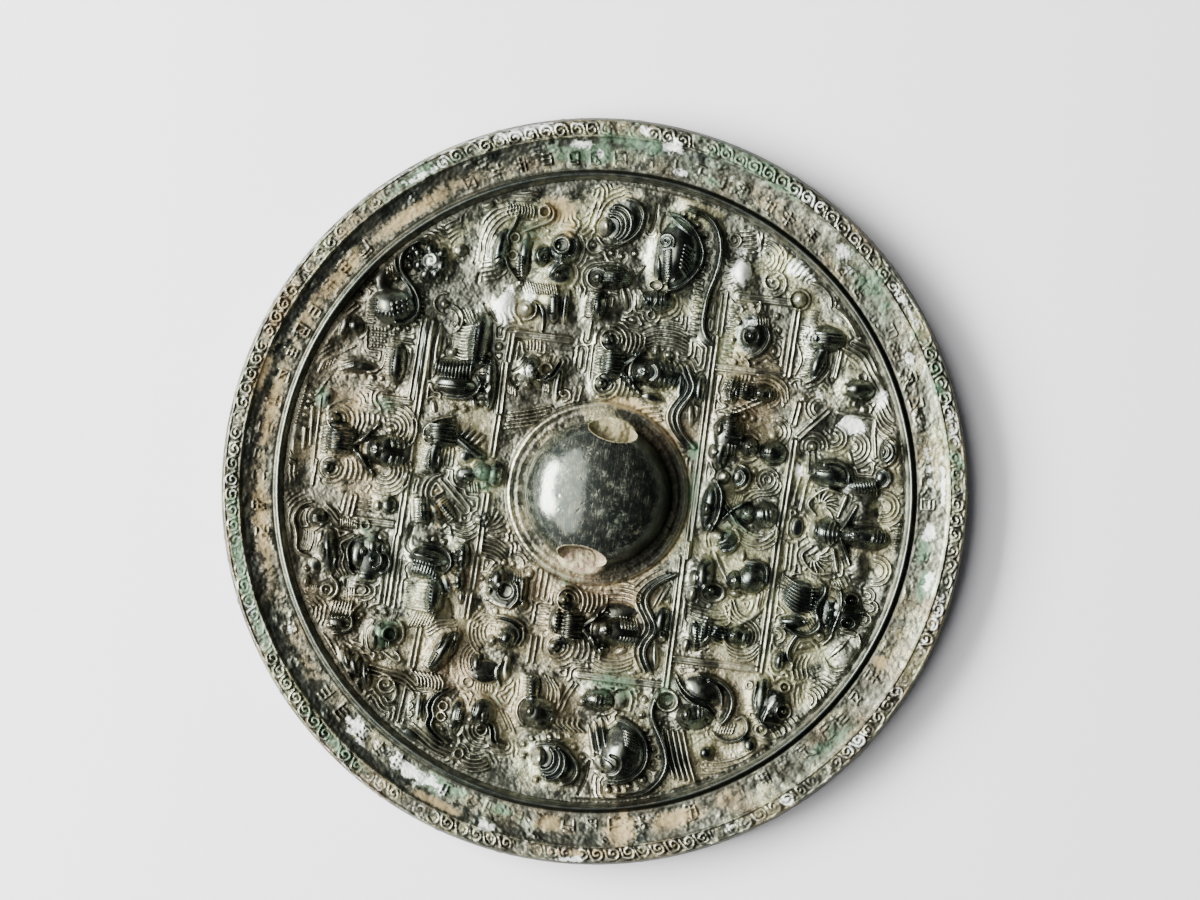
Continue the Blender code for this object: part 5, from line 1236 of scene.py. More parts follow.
def slab(name, art, height, masks, cells):
    """A closed piece of the field: its carved top over the chosen cells, straight sides, a flat underside."""
    x, y, z = art.x[::2, ::2], art.y[::2, ::2], height[::2, ::2]
    slope_y, slope_x = (part[::2, ::2] for part in np.gradient(height, art.step[1], art.step[0]))
    rows, columns = x.shape
    number = np.arange(rows * columns).reshape(rows, columns)
    quads = np.stack([number[:-1, :-1], number[:-1, 1:], number[1:, 1:], number[1:, :-1]], -1)
    padded = np.pad(cells, 1)
    outline = []
    for shifted, first, second in ((padded[:-2, 1:-1], 0, 1), (padded[1:-1, 2:], 1, 2),
                                   (padded[2:, 1:-1], 2, 3), (padded[1:-1, :-2], 3, 0)):
        open_side = cells & ~shifted
        outline.append(quads[open_side][:, (first, second)])
    outline = np.concatenate(outline)
    quads = quads[cells]
    top = np.unique(quads)
    edge = np.unique(outline)
    places = np.concatenate([
        np.stack([x.ravel()[top], y.ravel()[top], z.ravel()[top]], 1),
        np.stack([x.ravel()[edge], y.ravel()[edge], np.full(len(edge), HIDDEN_Z)], 1)])
    new = np.full(rows * columns, -1)
    new[top] = np.arange(len(top))
    under = np.full(rows * columns, -1)
    under[edge] = len(top) + np.arange(len(edge))
    sides = np.stack([new[outline[:, 1]], new[outline[:, 0]], under[outline[:, 0]], under[outline[:, 1]]], 1)
    base = lower_faces(under[outline], places)
    mesh = mesh_of(name, places, [new[quads], sides, base])
    mesh.shade_smooth()
    tilt = np.stack([-slope_x.ravel()[top], -slope_y.ravel()[top], np.ones(len(top))], 1)
    tilt /= np.linalg.norm(tilt, axis=1)[:, None]
    mesh.set_sharp_from_angle(angle=math.radians(60))
    set_normals(mesh, np.concatenate([tilt, np.zeros((len(edge), 3))]), 4 * len(quads))
    give_masks(mesh, {key: np.concatenate([part[::2, ::2].ravel()[top], np.zeros(len(edge))])
                      for key, part in masks.items()})
    return put(name, mesh, patina())


def field_cells(art, row_low, row_high):
    """Which mesh cells a slab holds between two levels of the design."""
    x, y = art.x[::2, ::2], art.y[::2, ::2]
    middle_x, middle_y = (part[:-1, :-1] + art.step[0] for part in (x, y))
    from_knob = np.hypot(middle_x - KNOB_X, middle_y - KNOB_Y)
    along, across = cord_hole_axes(middle_x, middle_y)
    open_way = (abs(across) < CHANNEL_WIDTH / 2 - 0.9) & (abs(along) > 6.0)
    kept = (from_knob > KNOB_RADIUS - 0.6) | open_way
    inside = np.hypot(middle_x, middle_y) < FIELD_RADIUS + 0.6
    return kept & inside & (middle_y > row_low) & (middle_y < row_high)


# The rim, drawn in its own flat strip: arc length along its middle radius, and radius

STRIP_RADIUS = 61.8
STRIP_LENGTH = 2 * math.pi * STRIP_RADIUS
SPLIT_RADIUS = 63.5  # the band's outer edge, where the rim's two pieces meet
RIDGE_RADIUS, GROOVE_RADIUS, INNER_GROOVE_RADIUS = 57.1, 57.5, 56.42
BAND_START, CRUST_START, SCROLL_START = (57.8, 58.4), (58.0, 59.0), (63.3, 63.7)
OUTER_SLOPE, EDGE_GLINT, WALL_START = (66.5, 66.8), (66.95, 67.15), (67.08, 67.26)
WALL_FOOT = ((EDGE, 1.45), (EDGE - 0.12, 1.12), (EDGE - EDGE_INSET, FACE_SAG))  # radius and height
INSCRIPTION_RADIUS, INSCRIPTION_GROUPS, SCROLL_COUNT = 60.1, 82, 148
RIM_SECTION = (
    (54.8, 2.3), (55.3, 2.9), (55.7, 3.4), (56.2, 4.2), (56.4, 4.34), (56.55, 4.5), (56.8, 4.98),
    (57.05, 5.06), (57.3, 5.0), (57.5, 4.75), (57.75, 4.3), (58.0, 4.22), (58.3, 4.34), (59.2, 4.38),
    (60.7, 4.55), (62.2, 4.95), (63.3, 5.3), (63.6, 5.5), (63.8, 5.72), (64.0, 5.72), (64.2, 5.56),
    (66.2, 5.56), (66.4, 5.7), (66.62, 5.7), (66.85, 5.3), (67.15, 3.9), (67.35, 2.6), (67.46, 1.8),
)


def inscription(art):
    """Shallow worn strokes in small groups, all round the band."""
    chance = np.random.default_rng(21)
    for i in range(INSCRIPTION_GROUPS):
        u = STRIP_LENGTH * (i + 0.5 + chance.uniform(-0.12, 0.12)) / INSCRIPTION_GROUPS
        middle = INSCRIPTION_RADIUS + chance.uniform(-0.15, 0.15)
        width, length = chance.uniform(1.5, 2.1), chance.uniform(2.1, 2.7)
        depth = chance.uniform(0.16, 0.4)
        if chance.random() < 0.14:
            continue
        levels = chance.permutation([-0.5, -0.18, 0.16, 0.5])[: chance.integers(2, 4)]
        for level in levels:
            r = middle + level * length
            half = width / 2 * chance.uniform(0.6, 1.0)
            art.thread([(u - half, r), (u + half, r + chance.uniform(-0.12, 0.12))], 0.4, depth, 0.2)
        for share in chance.permutation([-0.5, 0.0, 0.5])[: chance.integers(1, 3)]:
            v = u + share * width
            half = length / 2 * chance.uniform(0.5, 1.0)
            art.thread([(v, middle - half), (v + chance.uniform(-0.2, 0.2), middle + half)], 0.4, depth, 0.2)
        if chance.random() < 0.35:
            turn = chance.choice((-1, 1))
            stroke = [(u - 0.8 * turn, middle - 0.9), (u, middle), (u + 0.9 * turn, middle + 0.6)]
            art.thread(stroke, 0.4, depth)


def scroll_border(art):
    """Running squared spirals between the rim's two outer ridges."""
    hook = [(-1.25, -0.78), (-0.75, 0.55), (-0.3, 0.86), (0.55, 0.84), (0.98, 0.35), (0.95, -0.45),
            (0.4, -0.84), (-0.25, -0.72), (-0.42, -0.1), (0.02, 0.24), (0.38, -0.05)]
    pitch = STRIP_LENGTH / SCROLL_COUNT
    middle = (SCROLL_IN + SCROLL_OUT) / 2
    chance = np.random.default_rng(5)
    for i in range(SCROLL_COUNT + 1):
        u = i * pitch + chance.uniform(-0.12, 0.12)
        path = [(u + a + chance.uniform(-0.1, 0.1), middle + b + chance.uniform(-0.1, 0.1)) for a, b in hook]
        art.sweep(art.lines, rounded_path(path, 4), 0.46, 0.44, 0.0)


RIM_GREEN = (
    (188, 61, 8, 3, 1.0), (180, 63, 10, 4, 0.7), (170, 61, 12, 4, 0.5), (133, 62, 12, 4, 0.6),
    (87, 60, 4, 2, 1.0), (81, 61.5, 4, 2, 1.0), (338, 60, 9, 2.6, 0.9), (350, 60, 6, 3, 0.6),
    (290, 65, 28, 1.4, 0.9), (215, 65, 16, 2, 0.7), (50, 62, 9, 2.5, 0.7), (160, 65, 14, 3, 0.7),
    (115, 65, 14, 3, 0.6), (320, 65, 12, 1.4, 0.9), (100, 65, 12, 3, 0.5),
)
RIM_BLOOM = (
    (120, 61.4, 2.2, 1.6, 1.0), (141, 62, 2.4, 1.8, 1.0), (138, 60.5, 1.6, 1.4, 0.8),
    (98, 62.6, 7, 0.7, 0.9), (101, 60.2, 5, 1.2, 0.75), (90, 60.5, 3, 1.8, 0.9), (82, 62, 3, 1.2, 0.8),
    (174, 63.6, 2.2, 1.9, 1.1), (179, 65.3, 1.4, 1.3, 1.0), (172, 59.3, 2.2, 1.1, 0.9),
    (164, 61.6, 1.8, 1.4, 0.7), (189, 62.5, 3, 1.6, 0.8), (186, 60.5, 1.2, 1.6, 0.7),
    (53, 65.2, 2.4, 1.4, 1.0), (39, 65.2, 1.6, 1.4, 0.9), (29, 65, 1.4, 1.3, 0.8), (334, 60.3, 9, 1.8, 1.1),
    (322, 60.5, 6, 2.4, 0.75), (349, 63.2, 3, 1.3, 0.8), (301, 60, 1.6, 1.2, 0.8), (198, 66, 12, 1.2, 0.8),
    (215, 64.6, 4, 1.0, 0.7), (128, 65.2, 7, 1.6, 0.6), (108, 65.2, 7, 1.6, 0.55), (150, 64.8, 7, 1.6, 0.6),
    (3, 66.2, 5, 0.9, 0.8), (75, 65.4, 8, 1.4, 0.45),
)
RIM_DARK = (
    (47, 61.4, 15, 3.2, 0.6), (30, 63, 8, 1.5, 0.3), (112, 60.5, 9, 2.6, 0.4), (140, 61.6, 14, 3, 0.4),
    (182, 61, 20, 3, 0.42), (90, 65, 30, 1.4, 0.16), (70, 59.6, 10, 1.2, 0.3), (92, 59.4, 20, 0.9, 0.35),
    (130, 59.4, 14, 0.9, 0.3), (206, 60, 8, 3, 0.2), (312, 61, 5, 3, 0.3),
)
RIM_TAN = (
    (282, 60.2, 20, 2.1, 0.8), (245, 60.4, 18, 2.4, 0.6), (246, 65, 10, 1.6, 0.6),
    (212, 60.4, 16, 2.4, 0.5), (346, 60, 14, 2.4, 0.5), (21, 60.6, 6.5, 2.3, 1.0), (11.5, 61, 4, 4.5, 1.0),
    (359, 60.2, 3.6, 2.0, 1.0), (30, 60, 5, 3, 0.6), (220, 60, 12, 1.9, 0.95), (236, 60, 8, 2.0, 0.9),
    (262, 60, 13, 1.8, 0.9), (257, 63.5, 7, 2.0, 0.8), (340, 62.8, 7, 1.2, 0.95), (5, 65, 16, 1.4, 0.6),
    (228, 65, 12, 1.4, 0.5), (66, 60, 2.6, 2, 0.9), (155, 61, 9, 3, 0.45), (112, 59.6, 3.5, 1.6, 0.5),
    (288, 60, 10, 1.8, 0.55), (307, 60, 8, 1.8, 0.5), (248, 65, 9, 1.6, 0.7),
)


def rim_stain(angle, radius, places):
    """How strongly a stain covers each point of the rim. places holds (degrees, radius, width, length,
    strength)."""
    cover = np.zeros(radius.shape)
    for turn, middle, width, length, strength in places:
        around = (np.degrees(angle) - turn + 180) % 360 - 180
        away = (around / width) ** 2 + ((radius - middle) / length) ** 2
        cover = np.maximum(cover, strength * np.exp(-1.6 * away))
    return cover


def rim_surface(sizes):
    """Heights of the rim along its strip at half the mesh step, with their masks."""
    columns = 2 * sizes.rim_columns
    step = STRIP_LENGTH / columns
    first, last = RIM_SECTION[0][0], RIM_SECTION[-1][0]
    low, high = (0.0, first), (STRIP_LENGTH - step, last + 0.2)
    art = Carving(low, high, (step, 0.1), sizes.line_thickness, sizes.line_relief)
    art.x, art.y = art.x[:, :columns], art.y[:, :columns]
    art.bodies, art.lines = art.bodies[:, :columns], art.lines[:, :columns]
    inscription(art)
    inked = art.lines.copy()
    scroll_border(art)
    shape = art.x.shape
    wear = np.clip(0.75 + 0.34 * mottle(shape, 40, 31) + 0.3 * mottle(shape, 9, 35), 0.1, 1.2)
    section = np.interp(art.y, *zip(*RIM_SECTION))
    outside = ramp(art.y, *CRUST_START)
    scrolls = ramp(art.y, *SCROLL_START)
    crust = ramp(mottle(shape, 9, 32), 0.3, 1.5) * outside
    worn = wear * (1 + 0.55 * scrolls * np.clip(mottle(shape, 7, 42), -1.6, 0.6))
    height = section + blurred(art.lines, 0.6) * worn + 0.12 * crust
    height, hollow = settled(height, 0.1, sizes.earth_depth / UNIT * 0.6, 0.8)
    grain = 0.022 * mottle(shape, 1.6, 33) + 0.036 * mottle(shape, 6, 34)
    height = height + grain * ramp(art.y, 58.0, 58.6) * (1 + 1.4 * crust)
    angle = art.x / STRIP_RADIUS
    rise = height - section
    # shaded marks the rim's side towards the window, where its inner wall faces away from the light.
    shaded = ramp(-np.sin(angle), -0.1, 0.5)
    rubbed_side = np.maximum(shaded, ramp(abs(np.cos(angle)), 0.85, 1.0))
    smooth = ramp(art.y, 61.3, 62.3) * ramp(-art.y, -63.9, -63.4) * rubbed_side
    # A dark band along the groove outside the ridge, and a thin dark line at the ridge's inner foot: dirt,
    # with painted shade of the ridge that makes them wider on the side away from the window.
    from_groove = abs(art.y - GROOVE_RADIUS - 0.45 * shaded)
    groove = np.maximum(ramp(-from_groove, -0.6 + 0.3 * shaded, -0.3 + 0.2 * shaded),
                        0.8 * ramp(-abs(art.y - INNER_GROOVE_RADIUS), -0.26, -0.1) * (1 - shaded))
    # Painted shadow on the inner wall on the shaded side.
    inner = ramp(-art.y, -RIDGE_RADIUS, -56.8) * shaded
    slope = ramp(art.y, *OUTER_SLOPE)
    wall = ramp(art.y, *WALL_START)
    rusty = np.clip(0.3 + 0.25 * mottle(shape, 18, 44) + 0.15 * mottle(shape, 5, 45), 0, 0.8)
    crusted = np.clip(0.66 + 0.2 * mottle(shape, 11, 46), 0.3, 0.95)
    spots, specks = mottle(shape, 13, 38), mottle(shape, 3, 40)
    hooks = ramp(art.lines - inked, 0.1, 0.35)
    earth = 0.26 + 0.3 * hollow + 0.2 * mottle(shape, 22, 37) + 0.12 * mottle(shape, 5, 39)
    dirt = 0.06 + 0.15 * spots + 0.1 * specks + 0.45 * ramp(inked, 0.05, 0.2) + 0.12 * smooth
    # Dark ground between the scrolls: dirt, with painted shade that is stronger on the shaded side.
    dirt = dirt + (0.26 + 0.16 * shaded) * scrolls + rim_stain(angle, art.y, RIM_DARK) - 0.35 * hooks
    # Painted shade on the outer slope, except its outer edge on the window's side.
    slope_shade = 0.9 * slope * (1 - ramp(shaded + art.y - 67.0, 0.9, 1.2))
    # A painted glint: a pale line along the outer edge on the window's side.
    edge_glint = 0.6 * ramp(art.y + 0.45 * edge_wear(angle), *EDGE_GLINT) * shaded * (1 - wall)
    masks = {
        "earth": np.clip(earth + 0.1 * scrolls - 0.5 * smooth, 0, 1) * ramp(art.y, *BAND_START),
        # Near-black: the narrow hollows (dirt and painted shade), dirt, the crust of the outer wall, the dark
        # groove, and painted shade on the inner wall and the outer slope.
        "dirt_and_shade": np.max([ramp(blurred(rise, 3) - rise, 0.02, 0.12),
                          np.clip(dirt, 0, 0.9) * outside * (1 - slope),
                          wall * crusted, groove, 0.6 * inner, slope_shade], axis=0),
        "rubbed": 0.52 * smooth + 0.15 * ramp(mottle(shape, 9, 36), 0.3, 1.2)
                  + 0.9 * ramp(-abs(art.y - RIDGE_RADIUS), -0.5, -0.3),
        "crest": ramp(rise - blurred(rise, 4), 0.02, 0.16),
        "brown": np.clip(0.15 + 0.2 * spots + 0.6 * rim_stain(angle, art.y, RIM_TAN), 0, 0.9),
        "green": rim_stain(angle, art.y, RIM_GREEN) + 0.25 * crust + wall * (0.5 - rusty),
        "bloom_and_glint": rim_stain(angle, art.y, RIM_BLOOM) + edge_glint + (0.12 + 0.25 * spots) * hooks
                 + 0.1 * specks - 0.3 * wall,
        "rust": rim_stain(angle, art.y, RIM_TAN) + wall * rusty,
        "clay": np.zeros(shape),
        "pink": np.zeros(shape),
    }
    return art, height, masks


def ring_mesh(name, loops):
    """A closed ring from loops of places round the mirror, joined in order and back to the first."""
    columns = len(loops[0])
    number = np.arange(len(loops) * columns).reshape(len(loops), columns)
    onward = np.roll(number, -1, 0)
    quads = np.stack([number, onward, np.roll(onward, -1, 1), np.roll(number, -1, 1)], -1).reshape(-1, 4)
    return mesh_of(name, np.concatenate(loops), [quads])


def strip_loops(art, height, masks, rows):
    """Places, normals and masks round the mirror at the chosen rows of the rim's strip."""
    loops, normals = [], []
    slope_r, slope_u = np.gradient(height, 0.1, art.step[0])
    for row in rows:
        angle, radius = art.x[row, ::2] / STRIP_RADIUS, art.y[row, ::2]
        z = height[row, ::2]
        worn_side = 0.14 - 0.10 * np.sin(angle - 0.3)
        nick = worn_side * ramp(radius, SCROLL_OUT - 0.1, EDGE - 0.2) * edge_wear(angle)
        c, s = np.cos(angle), np.sin(angle)
        loops.append(np.stack([(radius - nick) * c, (radius - nick) * s, z], 1))
        out, round_ = slope_r[row, ::2], slope_u[row, ::2] * STRIP_RADIUS / radius
        tilt = np.stack([-(out * c - round_ * s), -(out * s + round_ * c), np.ones(len(c))], 1)
        normals.append(tilt / np.linalg.norm(tilt, axis=1)[:, None])
    chosen = {key: np.concatenate([part[row, ::2] for row in rows]) for key, part in masks.items()}
    return loops, np.concatenate(normals), chosen


def edge_wear(angle):
    """Uneven loss along the outer edge, from 0 to about 2."""
    waves = [(7, 0.3, 0.25), (17, 1.1, 0.25), (31, 2.0, 0.3), (67, 0.4, 0.35), (113, 2.7, 0.3),
             (211, 1.9, 0.25)]
    return 0.9 + sum(size * np.sin(count * angle + phase) for count, phase, size in waves)


def side_masks(columns):
    """The finish of the plain outer wall: dull earth with rust and malachite in patches round the mirror."""
    wear = edge_wear(np.arange(columns) * 2 * math.pi / columns)
    return {"earth": 0.6 + 0.15 * wear, "rust": 0.15 + 0.2 * wear, "green": 0.4 - 0.2 * wear,
            "dirt_and_shade": 0.7 - 0.12 * wear}


def plain_loop(columns, radius, z):
    """A level circle of places round the mirror."""
    angle = np.arange(columns) * 2 * math.pi / columns
    return np.stack([radius * np.cos(angle), radius * np.sin(angle), np.full(columns, z)], 1)


def face_rise(radius):
    """Height of the slightly convex polished face above its resting flat."""
    edge = EDGE - EDGE_INSET
    return FACE_SAG * max(0.0, radius**2 - REST_RADIUS**2) / (edge**2 - REST_RADIUS**2)


def rim_piece(name, strip, rows, ends):
    """One closed ring of the rim: carved rows on top, then plain loops (radius, height) underneath."""
    loops, normals, chosen = strip_loops(*strip, rows)
    columns = len(loops[0])
    normals = np.concatenate([normals, np.zeros((columns * len(ends), 3))])
    loops += [plain_loop(columns, *end) for end in ends]
    mesh = ring_mesh(name, loops)
    mesh.shade_smooth()
    mesh.set_sharp_from_angle(angle=math.radians(50))
    set_normals(mesh, normals, 4 * columns * (len(rows) - 1))
    side = side_masks(columns)
    for key, values in chosen.items():
        wall = np.tile(side.get(key, np.zeros(columns)), len(ends))
        chosen[key] = np.concatenate([values, wall])
    give_masks(mesh, chosen)
    return put(name, mesh, patina())


def closed_faces(loops, columns):
    """Faces of stacked loops of places, closed at both ends by the two places that follow the loops."""
    number = np.arange(loops * columns).reshape(loops, columns)
    inner, outer = number[:-1], number[1:]
    quads = np.stack([inner, outer, np.roll(outer, -1, 1), np.roll(inner, -1, 1)], -1).reshape(-1, 4)
    first, last = number[0], number[-1]
    top, bottom = np.full(columns, loops * columns), np.full(columns, loops * columns + 1)
    caps = np.concatenate([np.stack([top, first, np.roll(first, -1)], 1),
                           np.stack([bottom, np.roll(last, -1), last], 1)])
    return [quads, caps]


def polished_face():
    """The slightly convex polished side that the mirror lies on, as a closed disc."""
    radii = [FACE_EDGE, 62.0, 58.0, 54.0, 50.0, 45.0, 40.0, 35.0, REST_RADIUS, 15.0, 4.0]
    columns, top = 360, HIDDEN_Z - 0.2
    loops = [plain_loop(columns, radii[-1], top), plain_loop(columns, FACE_EDGE - 1.0, top)]
    loops += [plain_loop(columns, radius, face_rise(radius)) for radius in radii]
    ends = [[(0.0, 0.0, top), (0.0, 0.0, 0.0)]]
    mesh = mesh_of("polished_face", np.concatenate(loops + ends), closed_faces(len(loops), columns))
    mesh.shade_smooth()
    mesh.set_sharp_from_angle(angle=math.radians(40))
    return put("polished_face", mesh, polish())


def knob_dome():
    """The domed knob on its seat, still without its cord hole."""
    rings, columns = 76, 240
    rows = []
    for turn in np.linspace(0.5, 90, rings):
        tilt = math.radians(turn)
        rows.append((KNOB_RADIUS * math.sin(tilt), SEAT_Z + (TOP_Z - SEAT_Z) * math.cos(tilt)))
    rows.append((KNOB_RADIUS, KNOB_FOOT_Z))
    loops = [plain_loop(columns, *row) for row in rows]
    places = np.concatenate(loops + [[(0.0, 0.0, TOP_Z), (0.0, 0.0, KNOB_FOOT_Z)]])
    for place in places[:-columns - 2]:
        spot = Vector(place)
        dent = 0.04 * noise.noise(spot * 0.3) + 0.006 * noise.noise(spot * 1.6)
        pit = max(0.0, noise.noise(spot * 2.3 + Vector((9.0, 0.0, 0.0))) - 0.5) * 0.3
        outward = Vector((place[0], place[1], place[2] - SEAT_Z)).normalized()
        place += np.array(outward) * (dent - pit - 0.03)
    places[:, :2] += (KNOB_X, KNOB_Y)
    return mesh_of("knob", places, closed_faces(len(rows), columns))


def hole_cutter():
    """The cord hole's shape, as a long bar of oval section."""
    form = bmesh.new()
    bmesh.ops.create_cone(form, cap_ends=True, segments=48, radius1=0.5, radius2=0.5, depth=1.0)
    bmesh.ops.rotate(form, matrix=Matrix.Rotation(math.pi / 2, 3, "Y"), verts=form.verts)
    size = Vector((4 * KNOB_RADIUS, CHANNEL_WIDTH, CHANNEL_HEIGHT)) * UNIT
    bmesh.ops.scale(form, vec=size, verts=form.verts)
    bmesh.ops.rotate(form, matrix=Matrix.Rotation(CHANNEL_TURN, 3, "Z"), verts=form.verts)
    middle = Vector((KNOB_X, KNOB_Y, CHANNEL_FLOOR + CHANNEL_HEIGHT / 2)) * UNIT
    bmesh.ops.translate(form, vec=middle, verts=form.verts)
    mesh = bpy.data.meshes.new("cord_hole")
    form.to_mesh(mesh)
    form.free()
    return mesh


KNOB_CLAY = 7.5  # earth lies in the hole beyond this distance from its middle, and the hole is near-black before it
KNOB_GREEN = ((4.0, 4.0, 8.0, 5.0, 0.45), (8.5, 6.5, 4.0, 3.0, 0.5), (-2.0, 3.0, 6.0, 6.0, 0.3))


def knob():
    """The knob, pierced for its cord, with earth left in the hole."""
    dome = bpy.data.objects.new("dome", knob_dome())
    cutter = bpy.data.objects.new("cord_hole", hole_cutter())
    for item in (dome, cutter):
        bpy.context.scene.collection.objects.link(item)
    cut = dome.modifiers.new("cord hole", "BOOLEAN")
    cut.operation, cut.solver, cut.object = "DIFFERENCE", "EXACT", cutter
    solid = dome.evaluated_get(bpy.context.evaluated_depsgraph_get())
    mesh = bpy.data.meshes.new_from_object(solid)
    mesh.name = "knob"
    for item in (dome, cutter):
        bpy.data.objects.remove(item)
    places = np.empty(3 * len(mesh.vertices), np.float32)
    mesh.vertices.foreach_get("co", places)
    x, y, z = places.reshape(-1, 3).T / UNIT
    out = np.hypot(x - KNOB_X, y - KNOB_Y)
    along, across = cord_hole_axes(x, y)
    level = (z - CHANNEL_FLOOR) * 2 / CHANNEL_HEIGHT - 1
    inside = abs((2 * across / CHANNEL_WIDTH) ** 2 + level**2 - 1) < 0.03
    # Painted shade: near-black on the lower part of the dome on the side away from the window.
    under = 0.99 * ramp(-z, -SEAT_Z - 6.0, -SEAT_Z - 3.0) * ramp(y, 2.0, 9.0)
    mesh.shade_smooth()
    mesh.set_sharp_from_angle(angle=math.radians(35))
    give_masks(mesh, {
        "earth": 0.5 * ramp(-z, -SEAT_Z - 0.8, -SEAT_Z - 0.1),
        "dirt_and_shade": np.maximum(under, inside * (out < KNOB_CLAY)),
        "brown": np.zeros(len(x)),
        "rubbed": ramp(z, SEAT_Z + 0.6, SEAT_Z + 2.2),
        "crest": np.zeros(len(x)),
        "green": stained(x, y, KNOB_GREEN),
        "bloom_and_glint": 0.2 + stained(x, y, ((6.0, 6.0, 7.0, 6.0, 0.1), (-5.0, -2.0, 5.0, 4.0, 0.1))),
        "rust": stained(x, y, ((6.0, 8.0, 6.0, 2.4, 0.4),)),
        "clay": inside * (out > KNOB_CLAY),
        "pink": inside * (x > KNOB_X),
    })
    return put("knob", mesh, patina("knob_bronze", "knob"))


# Finishes

class Finish:
    """A material under construction: its colour, roughness and metallic value so far, coat by coat."""

    def __init__(self, name):
        self.material = bpy.data.materials.new(name)
        self.material.use_nodes = True
        self.tree = self.material.node_tree
        self.tree.nodes.clear()
        self.colour, self.roughness, self.metal = shade((0.5, 0.5, 0.5)), 0.5, 0.0

    def node(self, kind, values, output=0, **settings):
        """A new shader node. values maps its inputs to constants or to other nodes' outputs."""
        node = self.tree.nodes.new("ShaderNode" + kind)
        for key, value in settings.items():
            setattr(node, key, value)
        for key, value in values.items():
            if isinstance(value, bpy.types.NodeSocket):
                self.tree.links.new(value, node.inputs[key])
            else:
                node.inputs[key].default_value = value
        return node.outputs[output] if node.outputs else node

    def math(self, operation, first, second=0.0):
        """One step of arithmetic on numbers or sockets."""
        return self.node("Math", {0: first, 1: second}, operation=operation)

    def ramp(self, value, low, high):
        """Rises smoothly from 0 to 1 between low and high."""
        return self.node("MapRange", {"Value": value, "From Min": low, "From Max": high},
                         interpolation_type="SMOOTHSTEP")

    def cloud(self, scale, detail=4.0, roughness=0.55):
        """Cloudy noise about a middle of 0.5, at a scale in features per metre."""
        return self.node("TexNoise", {"Vector": self.place, "Scale": scale, "Detail": detail,
                                      "Roughness": roughness})

    def mask(self, name):
        """A mask that is stored at the vertices."""
        return self.node("Attribute", {}, output="Fac", attribute_name=name)

    def coat(self, share, colour, metal, roughness=None):
        """Lays one more layer over the finish by a share."""
        self.colour = self.over(share, self.colour, colour)
        self.metal = self.level(share, self.metal, metal)
        if roughness is not None:
            self.roughness = self.level(share, self.roughness, roughness)

    def over(self, share, below, above):
        """The colour above laid over the colour below by a share. 0, 6 and 7 are Mix's colour sockets."""
        return self.node("Mix", {0: share, 6: below, 7: above}, output=2, data_type="RGBA")

    def level(self, share, below, above):
        """A number that goes from below to above by a share. 0, 2 and 3 are Mix's number sockets."""
        return self.node("Mix", {0: share, 2: below, 3: above}, output=0, data_type="FLOAT")

    def surface(self, strength=0.0, depth=0.0, height=None):
        """Ends the material in one shader, with a bump of a strength and a depth where a height is given."""
        values = {"Base Color": self.colour, "Roughness": self.roughness, "Metallic": self.metal}
        if height is not None:
            values["Normal"] = self.node("Bump", {"Strength": strength, "Distance": depth * UNIT,
                                                  "Height": height})
        self.node("OutputMaterial", {"Surface": self.node("BsdfPrincipled", values)})
        return self.material


def shade(colour):
    """A colour with full opacity."""
    return (*colour, 1.0)


EARTH_TINT = (1.0, 0.84, 0.74)  # what redder earth does to the colour under it
COVERS = (("rust", 0.3, 0.8, 0.8), ("green", 0.3, 0.8, 0.6), ("bloom_and_glint", 0.45, 0.75, 0.7))


def patina(name="patinated_bronze", proud="black"):
    """The relief side's finish: dark bronze under earth, malachite, whitish corrosion and rust, with painted
    glint and painted shade.
    """
    if name in bpy.data.materials:
        return bpy.data.materials[name]
    colours = bpy.context.scene.mirror_colours
    finish = Finish(name)
    finish.place = finish.node("TexCoord", {}, output="Object")
    finish.middle, finish.grain = finish.cloud(700, 6, 0.62), finish.cloud(2400, 4, 0.65)
    finish.speck = finish.ramp(finish.cloud(5200, 2, 0.7), 0.42, 0.72)
    finish.fleck = finish.ramp(finish.cloud(3400, 2, 0.6), 0.55, 0.68)
    drift = finish.math("ADD", finish.math("MULTIPLY", finish.middle, 1.5),
                        finish.math("MULTIPLY", finish.grain, 0.7))
    finish.drift = finish.math("SUBTRACT", drift, 1.1)

    tone = finish.math("ADD", finish.middle, finish.math("MULTIPLY", finish.mask("crest"), 0.25))
    finish.colour = finish.over(finish.ramp(tone, 0.4, 0.7), shade(colours.bronze), shade(colours.worn))
    finish.roughness = finish.level(finish.ramp(finish.middle, 0.3, 0.7), 0.3, 0.44)
    finish.metal = 1.0
    soiled = earth_coat(finish, colours)
    rubbed_coat(finish, colours, proud)
    corrosion_coats(finish, colours, proud)
    if proud == "knob":
        dust_coat(finish, colours)
    dirt_coats(finish, colours)
    grit = finish.math("MULTIPLY", finish.grain, finish.math("ADD", soiled, 0.12))
    return finish.surface(0.8, 0.09, grit)


def earth_coat(finish, colours):
    """Earth of several tones on the ground. Gives back how much of it there is."""
    soiled = finish.ramp(finish.math("ADD", finish.mask("earth"), finish.drift), 0.2, 0.8)
    soiled = finish.math("MULTIPLY", soiled, finish.level(finish.mask("crest"), 0.9, 0.35))
    broad = finish.cloud(190, 3)
    patch = finish.math("ADD", finish.math("MULTIPLY", broad, 0.6),
                        finish.math("MULTIPLY", finish.middle, 0.5))
    soil = finish.over(finish.ramp(patch, 0.46, 0.66), shade(colours.earth), shade(colours.pale_earth))
    soil = finish.over(finish.mask("brown"), soil, shade(colours.brown_earth))
    soil = finish.over(finish.math("MULTIPLY", finish.speck, 0.7), soil, shade(colours.dirt_and_shade))
    soil = finish.over(finish.math("MULTIPLY", finish.fleck, 0.35), soil, shade(colours.bloom_and_glint))
    finish.coat(soiled, soil, 0.4, 0.42)
    return soiled


